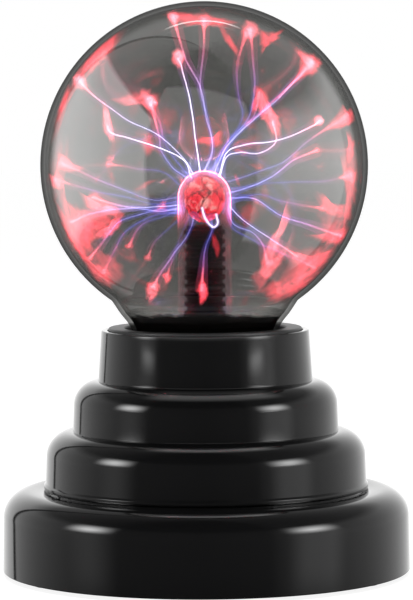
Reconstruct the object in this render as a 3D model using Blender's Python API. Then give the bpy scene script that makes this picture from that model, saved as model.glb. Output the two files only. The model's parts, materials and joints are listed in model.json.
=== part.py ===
"""Three-inch plasma ball on a four-step round base, as separate pieces.

Lengths in this file are millimetres, and each mesh is scaled to metres when it is made. +Z is up, the origin
is on the table under the middle of the base, and the power socket faces +Y.
"""

import math
import random

import bmesh
import bpy
from mathutils import Matrix, Vector

MM = 0.001
GAP = 0.3
ROUND = 32
SMALL = 10
SEED = 7

# Glass
GLOBE_RADIUS = 40.0
GLOBE_CENTRE = 100.0
GLASS = 1.1
NECK_RADIUS = 17.2
NECK_BOTTOM = 49.2
STEM_RADIUS = 6.3
STEM_WALL = 0.9
STEM_TOP = 98.6
DOME_CENTRE = STEM_TOP - STEM_RADIUS
FLARE_RADIUS = NECK_RADIUS - GLASS - GAP

# Electrode inside the stem
WOOL_RADIUS = STEM_RADIUS - STEM_WALL - 0.35
WOOL_BOTTOM = 86.0
SLEEVE_RADIUS = 5.1
SLEEVE_BORE = 2.4
SLEEVE_BOTTOM = 59.0
SLEEVE_TOP = 85.5
RIB_PITCH = 2.2
RIB_DEPTH = 0.7
ROD_RADIUS = 1.2
ROD_BOTTOM = 50.5

# Upper housing: a collar over two rounded steps
COLLAR_TOP = 59.9
COLLAR_RIM = 25.5
COLLAR_FOOT = 26.3
STEP_2_TOP = 47.6
STEP_2_RADIUS = 32.6
STEP_2_ROUND = 6.0
STEP_3_TOP = 35.3
STEP_3_RADIUS = 39.4
STEP_3_ROUND = 6.3
DRAFT = 0.25
WALL = 1.8
SPIGOT_RADIUS = 38.0
SPIGOT_BOTTOM = 18.0
SHELF_HOLE = 13.5

# Lower housing and the cover under it
BASE_RADIUS = 50.0
BASE_BOTTOM = 1.0
STEP_4_TOP = 20.8
STEP_4_ROUND = 6.5
COVER_RADIUS = 47.7
COVER_BOTTOM = 0.7
COVER_TOP = 2.5

# Screws that hold the cover to the upper housing
SCREW_CIRCLE = 33.8
SCREW_RADIUS = 1.25
BOSS_RADIUS = 2.7
BOSS_BOTTOM = 5.8
BOSS_TOP = 33.9
PILOT_RADIUS = SCREW_RADIUS + GAP
WELL_RADIUS = 3.1
WELL_TOP = 3.5
SCREW_ANGLES = (0.0, 90.0, 180.0, 270.0)

# Feet
FOOT_RADIUS = 4.0
FOOT_HEIGHT = 1.2
FOOT_CIRCLE = 43.0
FOOT_ANGLES = (30.0, 150.0, 210.0, 330.0)

# Battery bay for four AAA cells that lie along X
BAY_MIDDLE_Y = -6.0
BAY_HALF_LENGTH = 26.0
BAY_HALF_WIDTH = 22.5
BAY_WALL = 1.3
BAY_CEILING = 14.1
BAY_TOP = 15.3
CELL_RADIUS = 5.25
CELL_LENGTH = 44.5
CELL_PITCH = 11.0
CELL_HEIGHT = 8.5
CELL_REACH = 25.0
PLATE_FACE = 25.3
DOOR_TOP = 2.3
DOOR_GAP = 0.4
HOOK_WIDTH = 6.0
HOOK_OFFSETS = (-12.0, 12.0)
LATCH_Y = -9.0

# Circuit board on four posts over the bay
BOARD_BOTTOM = 20.0
BOARD_TOP = 21.6
BOARD_MIDDLE = (0.0, -4.0)
BOARD_SIZE = (48.0, 34.0)
POST_POSITIONS = ((-20.5, -17.5), (20.5, 9.5), (20.5, -17.5), (-20.5, 9.5))
BOARD_SCREWS = POST_POSITIONS[:2]
TRANSFORMER = (-9.0, -5.0)
CORE_HEIGHT = 16.0
CORE_HALF_DEPTH = 2.5

# Slide switch, in a frame whose +Y points out through the wall
SWITCH_TURN = 30.0
SWITCH_HEIGHT = 9.6
SWITCH_PLATE = 44.9
SWITCH_SCREW_OFFSET = 7.6
KNOB_LENGTH = 4.0
KNOB_HEIGHT = 3.2
KNOB_REST = -2.0
KNOB_TRAVEL = 4.0
KNOB_TIP = 51.4
SLOT_LENGTH = KNOB_LENGTH + KNOB_TRAVEL + 2 * GAP
SLOT_HEIGHT = KNOB_HEIGHT + 2 * GAP

# Power socket
SOCKET_HEIGHT = 9.2
SOCKET_BORE = 3.2
SOCKET_BARREL = 3.9
SOCKET_MOUTH = 49.4
SOCKET_BACK = 38.5


def clear_scene():
    for obj in list(bpy.data.objects):
        bpy.data.objects.remove(obj, do_unlink=True)


def material(name, colour, roughness, metallic=0.0, alpha=1.0):
    made = bpy.data.materials.new(name)
    made.use_nodes = True
    shader = made.node_tree.nodes["Principled BSDF"]
    shader.inputs["Base Color"].default_value = (*colour, 1.0)
    shader.inputs["Roughness"].default_value = roughness
    shader.inputs["Metallic"].default_value = metallic
    shader.inputs["Alpha"].default_value = alpha
    return made


def materials():
    return {
        "glass": material("glass", (0.30, 0.30, 0.31), 0.03, alpha=0.35),
        "gloss": material("gloss_black", (0.010, 0.010, 0.011), 0.08),
        "matte": material("matte_black", (0.018, 0.018, 0.019), 0.45),
        "sleeve": material("sleeve_black", (0.008, 0.008, 0.009), 0.25),
        "wool": material("electrode_wool", (0.80, 0.10, 0.08), 0.45, 0.6),
        "rubber": material("rubber", (0.03, 0.03, 0.03), 0.8),
        "foam": material("foam", (0.04, 0.04, 0.045), 0.95),
        "steel": material("steel", (0.62, 0.62, 0.64), 0.3, 1.0),
        "brass": material("brass", (0.75, 0.56, 0.26), 0.3, 1.0),
        "cell": material("cell_wrap", (0.10, 0.22, 0.20), 0.35),
        "board": material("board_green", (0.02, 0.16, 0.06), 0.4),
        "ferrite": material("ferrite", (0.05, 0.05, 0.055), 0.6),
        "bobbin": material("bobbin", (0.62, 0.58, 0.48), 0.5),
        "copper": material("copper", (0.72, 0.35, 0.18), 0.35, 0.9),
        "tape": material("winding_tape", (0.72, 0.58, 0.10), 0.45),
        "aluminium": material("aluminium", (0.70, 0.71, 0.73), 0.4, 1.0),
        "capacitor": material("capacitor", (0.05, 0.10, 0.28), 0.35),
        "film": material("film", (0.45, 0.12, 0.05), 0.4),
        "red": material("red_lead", (0.65, 0.03, 0.03), 0.5),
        "black": material("black_lead", (0.02, 0.02, 0.02), 0.5),
    }


def add_object(name, mesh, finish):
    mesh.materials.append(finish)
    mesh.shade_smooth()
    mesh.set_sharp_from_angle(angle=math.radians(35))
    obj = bpy.data.objects.new(name, mesh)
    bpy.context.scene.collection.objects.link(obj)
    return obj


def from_bmesh(name, shape, finish):
    """Makes an object from a bmesh in millimetres, with its faces pointing out."""
    bmesh.ops.recalc_face_normals(shape, faces=shape.faces)
    mesh = bpy.data.meshes.new(name)
    shape.to_mesh(mesh)
    shape.free()
    mesh.transform(Matrix.Scale(MM, 4))
    return add_object(name, mesh, finish)


def turned_bmesh(outline, sides):
    """Spins (radius, height) points round Z. An outline that starts and ends on the axis makes a solid, and any
    other outline is closed into a ring."""
    shape = bmesh.new()
    points = [shape.verts.new((radius, 0.0, height)) for radius, height in outline]
    pairs = list(zip(points, points[1:]))
    if outline[0][0] > 0.0 or outline[-1][0] > 0.0:
        pairs.append((points[-1], points[0]))
    edges = [shape.edges.new(pair) for pair in pairs]
    bmesh.ops.spin(
        shape,
        geom=points + edges,
        axis=(0.0, 0.0, 1.0),
        cent=(0.0, 0.0, 0.0),
        angle=math.tau,
        steps=sides,
        use_merge=True,
    )
    bmesh.ops.remove_doubles(shape, verts=shape.verts, dist=1e-5)
    return shape


def turned(name, outline, finish, sides=ROUND, at=(0.0, 0.0, 0.0), along="Z"):
    shape = turned_bmesh(outline, sides)
    if along == "Y":
        bmesh.ops.rotate(shape, verts=shape.verts, matrix=Matrix.Rotation(math.radians(-90), 3, "X"))
    elif along == "X":
        bmesh.ops.rotate(shape, verts=shape.verts, matrix=Matrix.Rotation(math.radians(90), 3, "Y"))
    obj = from_bmesh(name, shape, finish)
    obj.location = Vector(at) * MM
    return obj


def disc(name, radius, bottom, top, finish, sides=SMALL, at=(0.0, 0.0, 0.0), along="Z"):
    outline = [(0.0, bottom), (radius, bottom), (radius, top), (0.0, top)]
    return turned(name, outline, finish, sides, at, along)


def block(name, low, high, finish, bevel=0.0):
    """A box from its low corner to its high corner, with its upright edges bevelled."""
    low, high = Vector(low), Vector(high)
    shape = bmesh.new()
    bmesh.ops.create_cube(shape, size=1.0)
    bmesh.ops.scale(shape, vec=high - low, verts=shape.verts)
    bmesh.ops.translate(shape, vec=(low + high) / 2, verts=shape.verts)
    if bevel:
        upright = [e for e in shape.edges if abs((e.verts[0].co - e.verts[1].co).z) > 1e-6]
        bmesh.ops.bevel(shape, geom=upright, offset=bevel, segments=2, profile=0.5, affect="EDGES")
    return from_bmesh(name, shape, finish)


def extruded(name, outline, start, end, finish, along="Y"):
    """Extrudes an outline of (x, z) points along Y, or one of (x, y) points along Z."""
    upright = along == "Z"
    length = Vector((0.0, 0.0, end - start)) if upright else Vector((0.0, end - start, 0.0))
    shape = bmesh.new()
    corners = [(x, other, start) if upright else (x, start, other) for x, other in outline]
    face = shape.faces.new([shape.verts.new(corner) for corner in corners])
    made = bmesh.ops.extrude_face_region(shape, geom=[face])
    moved = [v for v in made["geom"] if isinstance(v, bmesh.types.BMVert)]
    bmesh.ops.translate(shape, vec=length, verts=moved)
    return from_bmesh(name, shape, finish)


def smooth_route(corners, steps):
    """Points on a Catmull-Rom curve through the corners."""
    corners = [Vector(c) for c in corners]
    ends = [2 * corners[0] - corners[1], *corners, 2 * corners[-1] - corners[-2]]
    route = []
    for a, b, c, d in zip(ends, ends[1:], ends[2:], ends[3:]):
        for step in range(steps):
            t = step / steps
            linear = (c - a) * t
            square = (2 * a - 5 * b + 4 * c - d) * t * t
            cube = (3 * b - a - 3 * c + d) * t * t * t
            route.append((2 * b + linear + square + cube) / 2)
    return [*route, corners[-1]]


def wire(name, corners, radius, finish, steps=4, roundness=1):
    """A wire along a smooth curve through the corners, round or, with a roundness of 0, square."""
    curve = bpy.data.curves.new(name, "CURVE")
    curve.dimensions = "3D"
    curve.bevel_depth = radius * MM
    curve.bevel_resolution = roundness
    curve.use_fill_caps = True
    route = smooth_route(corners, steps)
    spline = curve.splines.new("POLY")
    spline.points.add(len(route) - 1)
    for point, place in zip(spline.points, route):
        point.co = (*(place * MM), 1.0)
    curve.materials.append(finish)
    obj = bpy.data.objects.new(name, curve)
    bpy.context.scene.collection.objects.link(obj)
    return obj


def combine(obj, operation, *tools):
    """Joins the tools to obj or cuts them from it, all in one step. The tools are left out of the model."""
    group = bpy.data.collections.new(f"{obj.name}_{operation.lower()}")
    for tool in tools:
        tool.hide_render = True
        tool.display_type = "WIRE"
        group.objects.link(tool)
    modifier = obj.modifiers.new(group.name, "BOOLEAN")
    modifier.operation = operation
    modifier.solver = "EXACT"
    modifier.operand_type = "COLLECTION"
    modifier.collection = group


def arc(radius, height, size, start, end, steps):
    """Points of an arc about (radius, height), from one angle to another in degrees."""
    turns = [math.radians(start + (end - start) * i / steps) for i in range(steps + 1)]
    return [(radius + size * math.cos(t), height + size * math.sin(t)) for t in turns]


def on_circle(radius, degrees):
    angle = math.radians(degrees)
    return radius * math.cos(angle), radius * math.sin(angle)


# The glass and what is sealed in it


def sphere_arc(radius, end_radius, steps):
    """A sphere's outline from its top down to where it has narrowed to end_radius."""
    last = -math.degrees(math.acos(end_radius / radius))
    return [(0.0, GLOBE_CENTRE + radius), *arc(0.0, GLOBE_CENTRE, radius, 90, last, steps)[1:]]


def neck_outline(inset):
    """The neck's outline below the sphere, moved inwards by inset."""
    outer = ((20.8, 64.1), (19.0, 61.8), (17.8, 59.6), (NECK_RADIUS, 56.8))
    return [(radius - inset, height + 0.3 * inset) for radius, height in outer]


def make_globe(finish):
    outer = sphere_arc(GLOBE_RADIUS, 22.8, 13) + neck_outline(0.0) + [(NECK_RADIUS, NECK_BOTTOM)]
    inner = sphere_arc(GLOBE_RADIUS - GLASS, 21.8, 11) + neck_outline(GLASS)
    inner.append((NECK_RADIUS - GLASS, NECK_BOTTOM))
    turned("globe_envelope", outer + inner[::-1], finish["glass"])


def make_stem(finish):
    """A test tube with a domed top, flared at the foot to close the neck. It's open to the air below."""
    bore = STEM_RADIUS - STEM_WALL
    flare = ((STEM_RADIUS, 62.0), (6.9, 58.5), (8.6, 55.2), (12.0, 52.8), (FLARE_RADIUS, 51.8))
    under = ((FLARE_RADIUS, 50.9), (11.8, 51.8), (7.9, 54.4), (6.0, 58.2), (bore, 62.0))
    dome = arc(0.0, DOME_CENTRE, STEM_RADIUS, 90, 0, 5)
    hollow = arc(0.0, DOME_CENTRE, bore, 0, 90, 5)
    outline = [(0.0, STEM_TOP), *dome[1:], *flare, *under, *hollow[:-1], (0.0, DOME_CENTRE + bore)]
    turned("electrode_stem", outline, finish["glass"], 16)


def make_exhaust_tip(finish):
    outline = [(0.0, 43.5), (0.6, 44.0), (1.3, 45.6), (1.7, 47.4), (1.7, 50.4), (0.0, 50.4)]
    turned("exhaust_tip", outline, finish["glass"], SMALL, at=(10.0, 0.0, 0.0))


def make_wool(finish):
    """Crumpled metal wool that fills the dome."""
    shape = turned_bmesh(
        [(0.0, WOOL_BOTTOM), (WOOL_RADIUS * 0.8, WOOL_BOTTOM), (WOOL_RADIUS, WOOL_BOTTOM + 1.2)]
        + arc(0.0, DOME_CENTRE, WOOL_RADIUS, 0, 90, 4)[:-1]
        + [(0.0, DOME_CENTRE + WOOL_RADIUS)],
        14,
    )
    chance = random.Random(SEED)
    for vertex in shape.verts:
        inwards = 1.0 - 0.09 * chance.random()
        vertex.co.x *= inwards
        vertex.co.y *= inwards
    from_bmesh("electrode_wool", shape, finish["wool"])


def make_sleeve(finish):
    """A corrugated tube: each rib is as long as the groove that follows it."""
    root = SLEEVE_RADIUS - RIB_DEPTH
    outline = [(SLEEVE_BORE, SLEEVE_BOTTOM)]
    count = int((SLEEVE_TOP - SLEEVE_BOTTOM) / RIB_PITCH)
    for index in range(count):
        foot = SLEEVE_BOTTOM + index * RIB_PITCH
        outline.append((SLEEVE_RADIUS, foot))
        outline.append((SLEEVE_RADIUS, foot + RIB_PITCH / 2))
        outline.append((root, foot + RIB_PITCH / 2))
        outline.append((root, foot + RIB_PITCH))
    outline.append((SLEEVE_BORE, SLEEVE_BOTTOM + count * RIB_PITCH))
    turned("ribbed_sleeve", outline, finish["sleeve"], SMALL)


def make_electrode(finish):
    make_wool(finish)
    make_sleeve(finish)
    disc("electrode_rod", ROD_RADIUS, ROD_BOTTOM, WOOL_BOTTOM - GAP, finish["brass"], 10)
    bung = [(ROD_RADIUS + GAP, 53.0), (5.0, 53.0), (5.1, 58.6), (ROD_RADIUS + GAP, 58.6)]
    turned("stem_bung", bung, finish["rubber"], 16)


def make_collar_rings(finish):
    ring = [(19.7, 58.8), (23.7, 58.8), (23.7, 60.2), (23.4, 60.5), (20.2, 60.5), (19.7, 60.1)]
    turned("retaining_ring", ring, finish["gloss"])
    gasket = [(17.6, 49.2), (22.5, 49.2), (22.5, 56.5), (17.6, 56.5)]
    turned("neck_gasket", gasket, finish["foam"])


# The housing


def screw_boss(number, degrees, finish):
    """A round post with a blind pilot hole that opens at its foot."""
    x, y = on_circle(SCREW_CIRCLE, degrees)
    outline = [(0.0, BOSS_BOTTOM + 9.0), (PILOT_RADIUS, BOSS_BOTTOM + 9.0), (PILOT_RADIUS, BOSS_BOTTOM)]
    outline += [(BOSS_RADIUS, BOSS_BOTTOM), (BOSS_RADIUS, BOSS_TOP), (0.0, BOSS_TOP)]
    return turned(f"boss_{number}", outline, finish, SMALL, at=(x, y, 0.0))


def make_upper_housing(finish):
    step_3_shoulder = STEP_3_TOP - STEP_3_ROUND
    step_2_shoulder = STEP_2_TOP - STEP_2_ROUND
    step_3_middle = STEP_3_RADIUS - DRAFT - STEP_3_ROUND
    step_2_middle = STEP_2_RADIUS - DRAFT - STEP_2_ROUND
    outside = [
        (SPIGOT_RADIUS, SPIGOT_BOTTOM),
        (SPIGOT_RADIUS, STEP_4_TOP + GAP),
        (STEP_3_RADIUS + 0.4, STEP_4_TOP + GAP),
        (STEP_3_RADIUS + 0.4, STEP_4_TOP + 1.4),
        (STEP_3_RADIUS, STEP_4_TOP + 1.7),
        *arc(step_3_middle, step_3_shoulder, STEP_3_ROUND, 0, 90, 4),
        (STEP_2_RADIUS, STEP_3_TOP + 0.3),
        *arc(step_2_middle, step_2_shoulder, STEP_2_ROUND, 0, 90, 4),
        (COLLAR_FOOT, STEP_2_TOP + 0.3),
        (COLLAR_RIM, COLLAR_TOP - 0.4),
        (COLLAR_RIM - 0.4, COLLAR_TOP),
    ]
    inside = [
        (24.0, COLLAR_TOP),
        (24.0, 58.5),
        (22.9, 58.5),
        (22.9, 48.9),
        (SHELF_HOLE, 48.9),
        (SHELF_HOLE, 46.9),
        (24.0, 46.9),
        *arc(step_2_middle, step_2_shoulder, STEP_2_ROUND - WALL, 90, 0, 3),
        (STEP_2_RADIUS - WALL, STEP_3_TOP - WALL),
        *arc(step_3_middle, step_3_shoulder, STEP_3_ROUND - WALL, 90, 0, 3),
        (STEP_3_RADIUS - WALL, STEP_4_TOP + 1.7),
        (SPIGOT_RADIUS - 2.0, STEP_4_TOP + 0.2),
        (SPIGOT_RADIUS - 2.0, SPIGOT_BOTTOM),
    ]
    shell = turned("upper_housing", outside + inside, finish["gloss"])
    bosses = [screw_boss(number, degrees, finish["gloss"]) for number, degrees in enumerate(SCREW_ANGLES, 1)]
    combine(shell, "UNION", *bosses)


def make_lower_housing(finish, wall_frame):
    shoulder = STEP_4_TOP - STEP_4_ROUND
    middle = BASE_RADIUS - DRAFT - STEP_4_ROUND
    hole = SPIGOT_RADIUS + GAP
    outline = [
        (BASE_RADIUS - 0.4, BASE_BOTTOM),
        (BASE_RADIUS, BASE_BOTTOM + 0.5),
        *arc(middle, shoulder, STEP_4_ROUND, 0, 90, 5),
        (hole, STEP_4_TOP),
        (hole, STEP_4_TOP - WALL),
        *arc(middle, shoulder, STEP_4_ROUND - WALL, 90, 0, 3),
        (BASE_RADIUS - WALL - 0.1, 4.4),
        (46.5, 3.8),
        (46.5, 2.8),
        (BASE_RADIUS - WALL - 0.1, 2.8),
        (BASE_RADIUS - WALL - 0.1, BASE_BOTTOM),
    ]
    shell = turned("lower_housing", outline, finish["gloss"])
    half_slot = SLOT_LENGTH / 2
    low = (-half_slot, 45.0, SWITCH_HEIGHT - SLOT_HEIGHT / 2)
    high = (half_slot, 53.0, SWITCH_HEIGHT + SLOT_HEIGHT / 2)
    slot = block("switch_slot", low, high, finish["gloss"])
    slot.parent = wall_frame
    post = [(0.0, 2.0), (0.9 + GAP, 2.0), (0.9 + GAP, 0.0), (2.1, 0.0), (2.1, 3.4), (0.0, 3.4)]
    posts = []
    for number, side in enumerate((-1, 1), 1):
        place = (side * SWITCH_SCREW_OFFSET, SWITCH_PLATE + GAP, SWITCH_HEIGHT)
        posts.append(turned(f"switch_post_{number}", post, finish["gloss"], SMALL, place, "Y"))
        posts[-1].parent = wall_frame
    at = (0.0, 0.0, SOCKET_HEIGHT)
    hole = disc("socket_hole", SOCKET_BARREL + GAP, 44.0, 53.0, finish["gloss"], 16, at, "Y")
    combine(shell, "UNION", *posts)
    combine(shell, "DIFFERENCE", slot, hole)


def bay_box(name, margin, bottom, top, finish):
    """A box over the battery bay's plan, grown by margin on each side."""
    length, width = BAY_HALF_LENGTH + margin, BAY_HALF_WIDTH + margin
    low = (-length, BAY_MIDDLE_Y - width, bottom)
    high = (length, BAY_MIDDLE_Y + width, top)
    return block(name, low, high, finish)


def cover_additions(look):
    """The walls that rise from the cover: the bay, the posts under the board and the collars of the wells."""
    yield bay_box("bay_outside", BAY_WALL, 1.2, BAY_TOP, look)
    top = BOARD_BOTTOM - GAP
    post = [(0.0, 16.2), (1.3, 16.2), (1.3, top), (2.5, top), (2.5, BAY_TOP - 0.6), (0.0, BAY_TOP - 0.6)]
    for number, (x, y) in enumerate(POST_POSITIONS, 1):
        yield turned(f"board_post_{number}", post, look, SMALL, (x, y, 0.0))
    for number, degrees in enumerate(SCREW_ANGLES, 1):
        at = (*on_circle(SCREW_CIRCLE, degrees), 0.0)
        yield disc(f"well_wall_{number}", WELL_RADIUS + 1.3, 2.0, BOSS_BOTTOM - GAP, look, SMALL, at)


def cover_cuts(look):
    """What is taken out of the cover: the bay, slots for the door's hooks, screw wells and foot pockets."""
    yield bay_box("bay_inside", 0.0, -1.0, BAY_CEILING, look)
    yield disc("finger_scoop", 4.0, -1.0, 1.5, look, 16, at=(26.5, LATCH_Y, 0.0))
    for number, offset in enumerate(HOOK_OFFSETS, 1):
        middle = BAY_MIDDLE_Y + offset
        half = HOOK_WIDTH / 2 + GAP
        yield block(f"hook_slot_{number}", (-28.0, middle - half, 2.4), (-25.5, middle + half, 4.3), look)
    well = [(0.0, -1.0), (WELL_RADIUS, -1.0), (WELL_RADIUS, WELL_TOP)]
    well += [(PILOT_RADIUS, WELL_TOP), (PILOT_RADIUS, 7.0), (0.0, 7.0)]
    for number, degrees in enumerate(SCREW_ANGLES, 1):
        yield turned(f"screw_well_{number}", well, look, SMALL, at=(*on_circle(SCREW_CIRCLE, degrees), 0.0))
    for number, degrees in enumerate(FOOT_ANGLES, 1):
        at = (*on_circle(FOOT_CIRCLE, degrees), 0.0)
        yield disc(f"foot_pocket_{number}", FOOT_RADIUS + GAP, -1.0, FOOT_HEIGHT + GAP, look, 16, at)


def make_bottom_cover(finish):
    look = finish["matte"]
    rim = [(0.0, COVER_BOTTOM), (COVER_RADIUS, COVER_BOTTOM), (COVER_RADIUS, COVER_TOP), (0.0, COVER_TOP)]
    cover = turned("bottom_cover", rim, look)
    combine(cover, "UNION", *cover_additions(look))
    combine(cover, "DIFFERENCE", *cover_cuts(look))


def make_battery_door(finish):
    look = finish["matte"]
    door = bay_box("battery_door", -DOOR_GAP, COVER_BOTTOM, DOOR_TOP, look)
    hook = [(-24.0, 2.0), (-24.0, 3.3), (-27.0, 3.3), (-27.0, 2.8), (-25.5, 2.8), (-25.5, 2.0)]
    latch = [(23.2, 2.0), (23.2, 4.4), (24.4, 4.4), (25.4, 3.9), (25.4, 3.4), (24.6, 3.0), (24.6, 2.0)]
    clips = [extruded("door_latch", latch, LATCH_Y - 4.0, LATCH_Y + 4.0, look)]
    for number, offset in enumerate(HOOK_OFFSETS, 1):
        middle = BAY_MIDDLE_Y + offset
        start, end = middle - HOOK_WIDTH / 2, middle + HOOK_WIDTH / 2
        clips.append(extruded(f"door_hook_{number}", hook, start, end, look))
    combine(door, "UNION", *clips)


def make_feet_and_screws(finish):
    foot = [(0.0, 0.0), (FOOT_RADIUS - 0.3, 0.0), (FOOT_RADIUS, 0.3), (FOOT_RADIUS, FOOT_HEIGHT), (0.0, FOOT_HEIGHT)]
    for number, degrees in enumerate(FOOT_ANGLES, 1):
        x, y = on_circle(FOOT_CIRCLE, degrees)
        turned(f"foot_{number}", foot, finish["rubber"], 16, at=(x, y, 0.0))
    head = WELL_RADIUS - 0.4
    screw = [(0.0, 1.9), (0.9, 1.5), (head - 0.4, 1.5), (head, 2.0), (head, WELL_TOP - GAP)]
    screw += [(SCREW_RADIUS, WELL_TOP - GAP), (SCREW_RADIUS, 13.0), (0.3, 14.2), (0.0, 14.2)]
    for number, degrees in enumerate(SCREW_ANGLES, 1):
        x, y = on_circle(SCREW_CIRCLE, degrees)
        turned(f"housing_screw_{number}", screw, finish["steel"], 10, at=(x, y, 0.0))


# Batteries and their contacts


def row_y(index):
    return BAY_MIDDLE_Y + (index - 1.5) * CELL_PITCH


def nub_side(index):
    """Neighbouring cells point opposite ways, so that they join in series."""
    return 1 if index % 2 == 0 else -1


def make_cell(index, finish):
    nub = 1.0
    body = CELL_LENGTH - nub
    outline = [(0.0, 0.0), (CELL_RADIUS - 0.3, 0.0), (CELL_RADIUS, 0.3), (CELL_RADIUS, body - 0.3)]
    outline += [(CELL_RADIUS - 0.3, body), (1.9, body), (1.9, CELL_LENGTH), (0.0, CELL_LENGTH)]
    side = nub_side(index)
    start = side * (CELL_REACH - CELL_LENGTH)
    cell = turned(f"battery_cell_{index + 1}", outline, finish["cell"], 14, along="X")
    cell.rotation_euler = (0.0, 0.0, 0.0 if side > 0 else math.pi)
    cell.location = Vector((start, row_y(index), CELL_HEIGHT)) * MM


def make_spring(index, finish):
    """A conical spring between the end plate and the cell's flat end."""
    turns, per_turn, wire_radius = 3, 7, 0.35
    side = nub_side(index)
    near = CELL_LENGTH - CELL_REACH + GAP + wire_radius
    far = PLATE_FACE - GAP - wire_radius
    corners = []
    for step in range(turns * per_turn + 1):
        share = step / (turns * per_turn)
        size = 2.2 + 1.3 * share
        turn = math.tau * turns * share
        x = -side * (near + (far - near) * share)
        y = row_y(index) + size * math.cos(turn)
        corners.append((x, y, CELL_HEIGHT + size * math.sin(turn)))
    wire(f"battery_spring_{index + 1}", corners, wire_radius, finish["steel"], steps=1, roundness=0)


def make_contact_plates(finish):
    """At one end each plate serves one cell or joins two, and at the other end both plates join two."""
    spans = ((-1, 0, 0), (-1, 1, 2), (-1, 3, 3), (1, 0, 1), (1, 2, 3))
    for number, (side, first, last) in enumerate(spans, 1):
        ends = (side * PLATE_FACE, side * (PLATE_FACE + 0.4))
        low = (min(ends), row_y(first) - 4.0, 4.8)
        high = (max(ends), row_y(last) + 4.0, 12.4)
        block(f"contact_plate_{number}", low, high, finish["steel"])


# Electronics


def make_board(finish):
    x, y = BOARD_MIDDLE
    half_x, half_y = BOARD_SIZE[0] / 2, BOARD_SIZE[1] / 2
    low = (x - half_x, y - half_y, BOARD_BOTTOM)
    high = (x + half_x, y + half_y, BOARD_TOP)
    board = block("circuit_board", low, high, finish["board"], bevel=1.5)
    screw = [(0.0, 23.4), (1.4, 23.4), (2.1, 22.6), (2.1, BOARD_TOP + GAP)]
    screw += [(1.0, BOARD_TOP + GAP), (1.0, 16.8), (0.0, 16.5)]
    holes = []
    for number, (x, y) in enumerate(BOARD_SCREWS, 1):
        holes.append(disc(f"board_hole_{number}", 1.3, 19.0, 23.0, finish["board"], SMALL, (x, y, 0.0)))
        turned(f"board_screw_{number}", screw, finish["steel"], 10, at=(x, y, 0.0))
    combine(board, "DIFFERENCE", *holes)


def rectangle_ring(name, inner, outer, bottom, top, finish):
    """A rectangular ring round the transformer's middle leg. inner and outer are half sizes."""
    x, y = TRANSFORMER
    ring = block(name, (x - outer[0], y - outer[1], bottom), (x + outer[0], y + outer[1], top), finish, 0.8)
    low = (x - inner[0], y - inner[1], bottom - 1.0)
    high = (x + inner[0], y + inner[1], top + 1.0)
    combine(ring, "DIFFERENCE", block(f"{name}_hole", low, high, finish))
    return ring


def make_transformer(finish):
    """Two E-shaped ferrites meet round a bobbin that carries the primary and the high-voltage winding."""
    x, y = TRANSFORMER
    middle = BOARD_TOP + GAP + CORE_HEIGHT / 2
    half = CORE_HEIGHT / 2
    ferrite = [(-9.6, half), (9.6, half), (9.6, 0.15), (7.2, 0.15), (7.2, half - 2.4), (2.4, half - 2.4)]
    ferrite += [(2.4, 0.15), (-2.4, 0.15), (-2.4, half - 2.4), (-7.2, half - 2.4), (-7.2, 0.15), (-9.6, 0.15)]
    front, back = y - CORE_HALF_DEPTH, y + CORE_HALF_DEPTH
    for name, way in (("transformer_core_upper", 1), ("transformer_core_lower", -1)):
        outline = [(x + across, middle + way * up) for across, up in ferrite]
        extruded(name, outline, front, back, finish["ferrite"])
    look = finish["bobbin"]
    leg = (2.7, CORE_HALF_DEPTH + GAP)
    bobbin = rectangle_ring("transformer_bobbin", leg, (3.4, 3.5), middle - 5.2, middle + 5.2, look)
    flanges = []
    for number, way in enumerate((-1, 1), 1):
        low, high = sorted((middle + way * 4.5, middle + way * 5.3))
        flanges.append(rectangle_ring(f"bobbin_flange_{number}", leg, (6.8, 6.4), low, high, look))
    combine(bobbin, "UNION", *flanges)
    rectangle_ring("secondary_winding", (3.8, 3.9), (6.4, 6.1), middle - 4.2, middle + 1.2, finish["tape"])
    rectangle_ring("primary_winding", (3.8, 3.9), (6.0, 5.8), middle + 1.5, middle + 4.2, finish["copper"])


def make_heatsink(finish):
    """A plate with five upright fins behind it."""
    left, right, face, root, tip = 3.5, 17.5, 8.2, 9.4, 12.6
    outline = [(left, face), (right, face)]
    for index in reversed(range(5)):
        edge = left + index * (right - left - 1.0) / 4
        outline += [(edge + 1.0, root), (edge + 1.0, tip), (edge, tip), (edge, root)]
    extruded("heatsink", outline, BOARD_TOP + GAP, 39.0, finish["aluminium"], "Z")


def make_power_stage(finish):
    """A transistor against its heat sink, two capacitors and two resistors."""
    seat = BOARD_TOP + GAP
    make_heatsink(finish)
    block("power_transistor", (5.5, 3.6, seat + 2.0), (15.5, 7.9, seat + 14.0), finish["black"], bevel=0.5)
    can = [(0.0, seat), (4.0, seat), (4.0, seat + 10.4), (3.5, seat + 11.0), (0.0, seat + 11.0)]
    turned("supply_capacitor", can, finish["capacitor"], 16, at=(15.5, -8.0, 0.0))
    block("film_capacitor", (-1.6, 4.0, seat), (2.0, 11.0, seat + 7.5), finish["film"], bevel=0.8)
    bead = [(0.0, 0.0), (0.3, 0.0), (0.3, 2.0), (1.1, 2.4), (1.1, 8.6), (0.3, 9.0), (0.3, 11.0), (0.0, 11.0)]
    for number, y in enumerate((-14.5, -17.5), 1):
        turned(f"resistor_{number}", bead, finish["bobbin"], 8, (3.0, y, seat + 1.2), "X")


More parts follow.
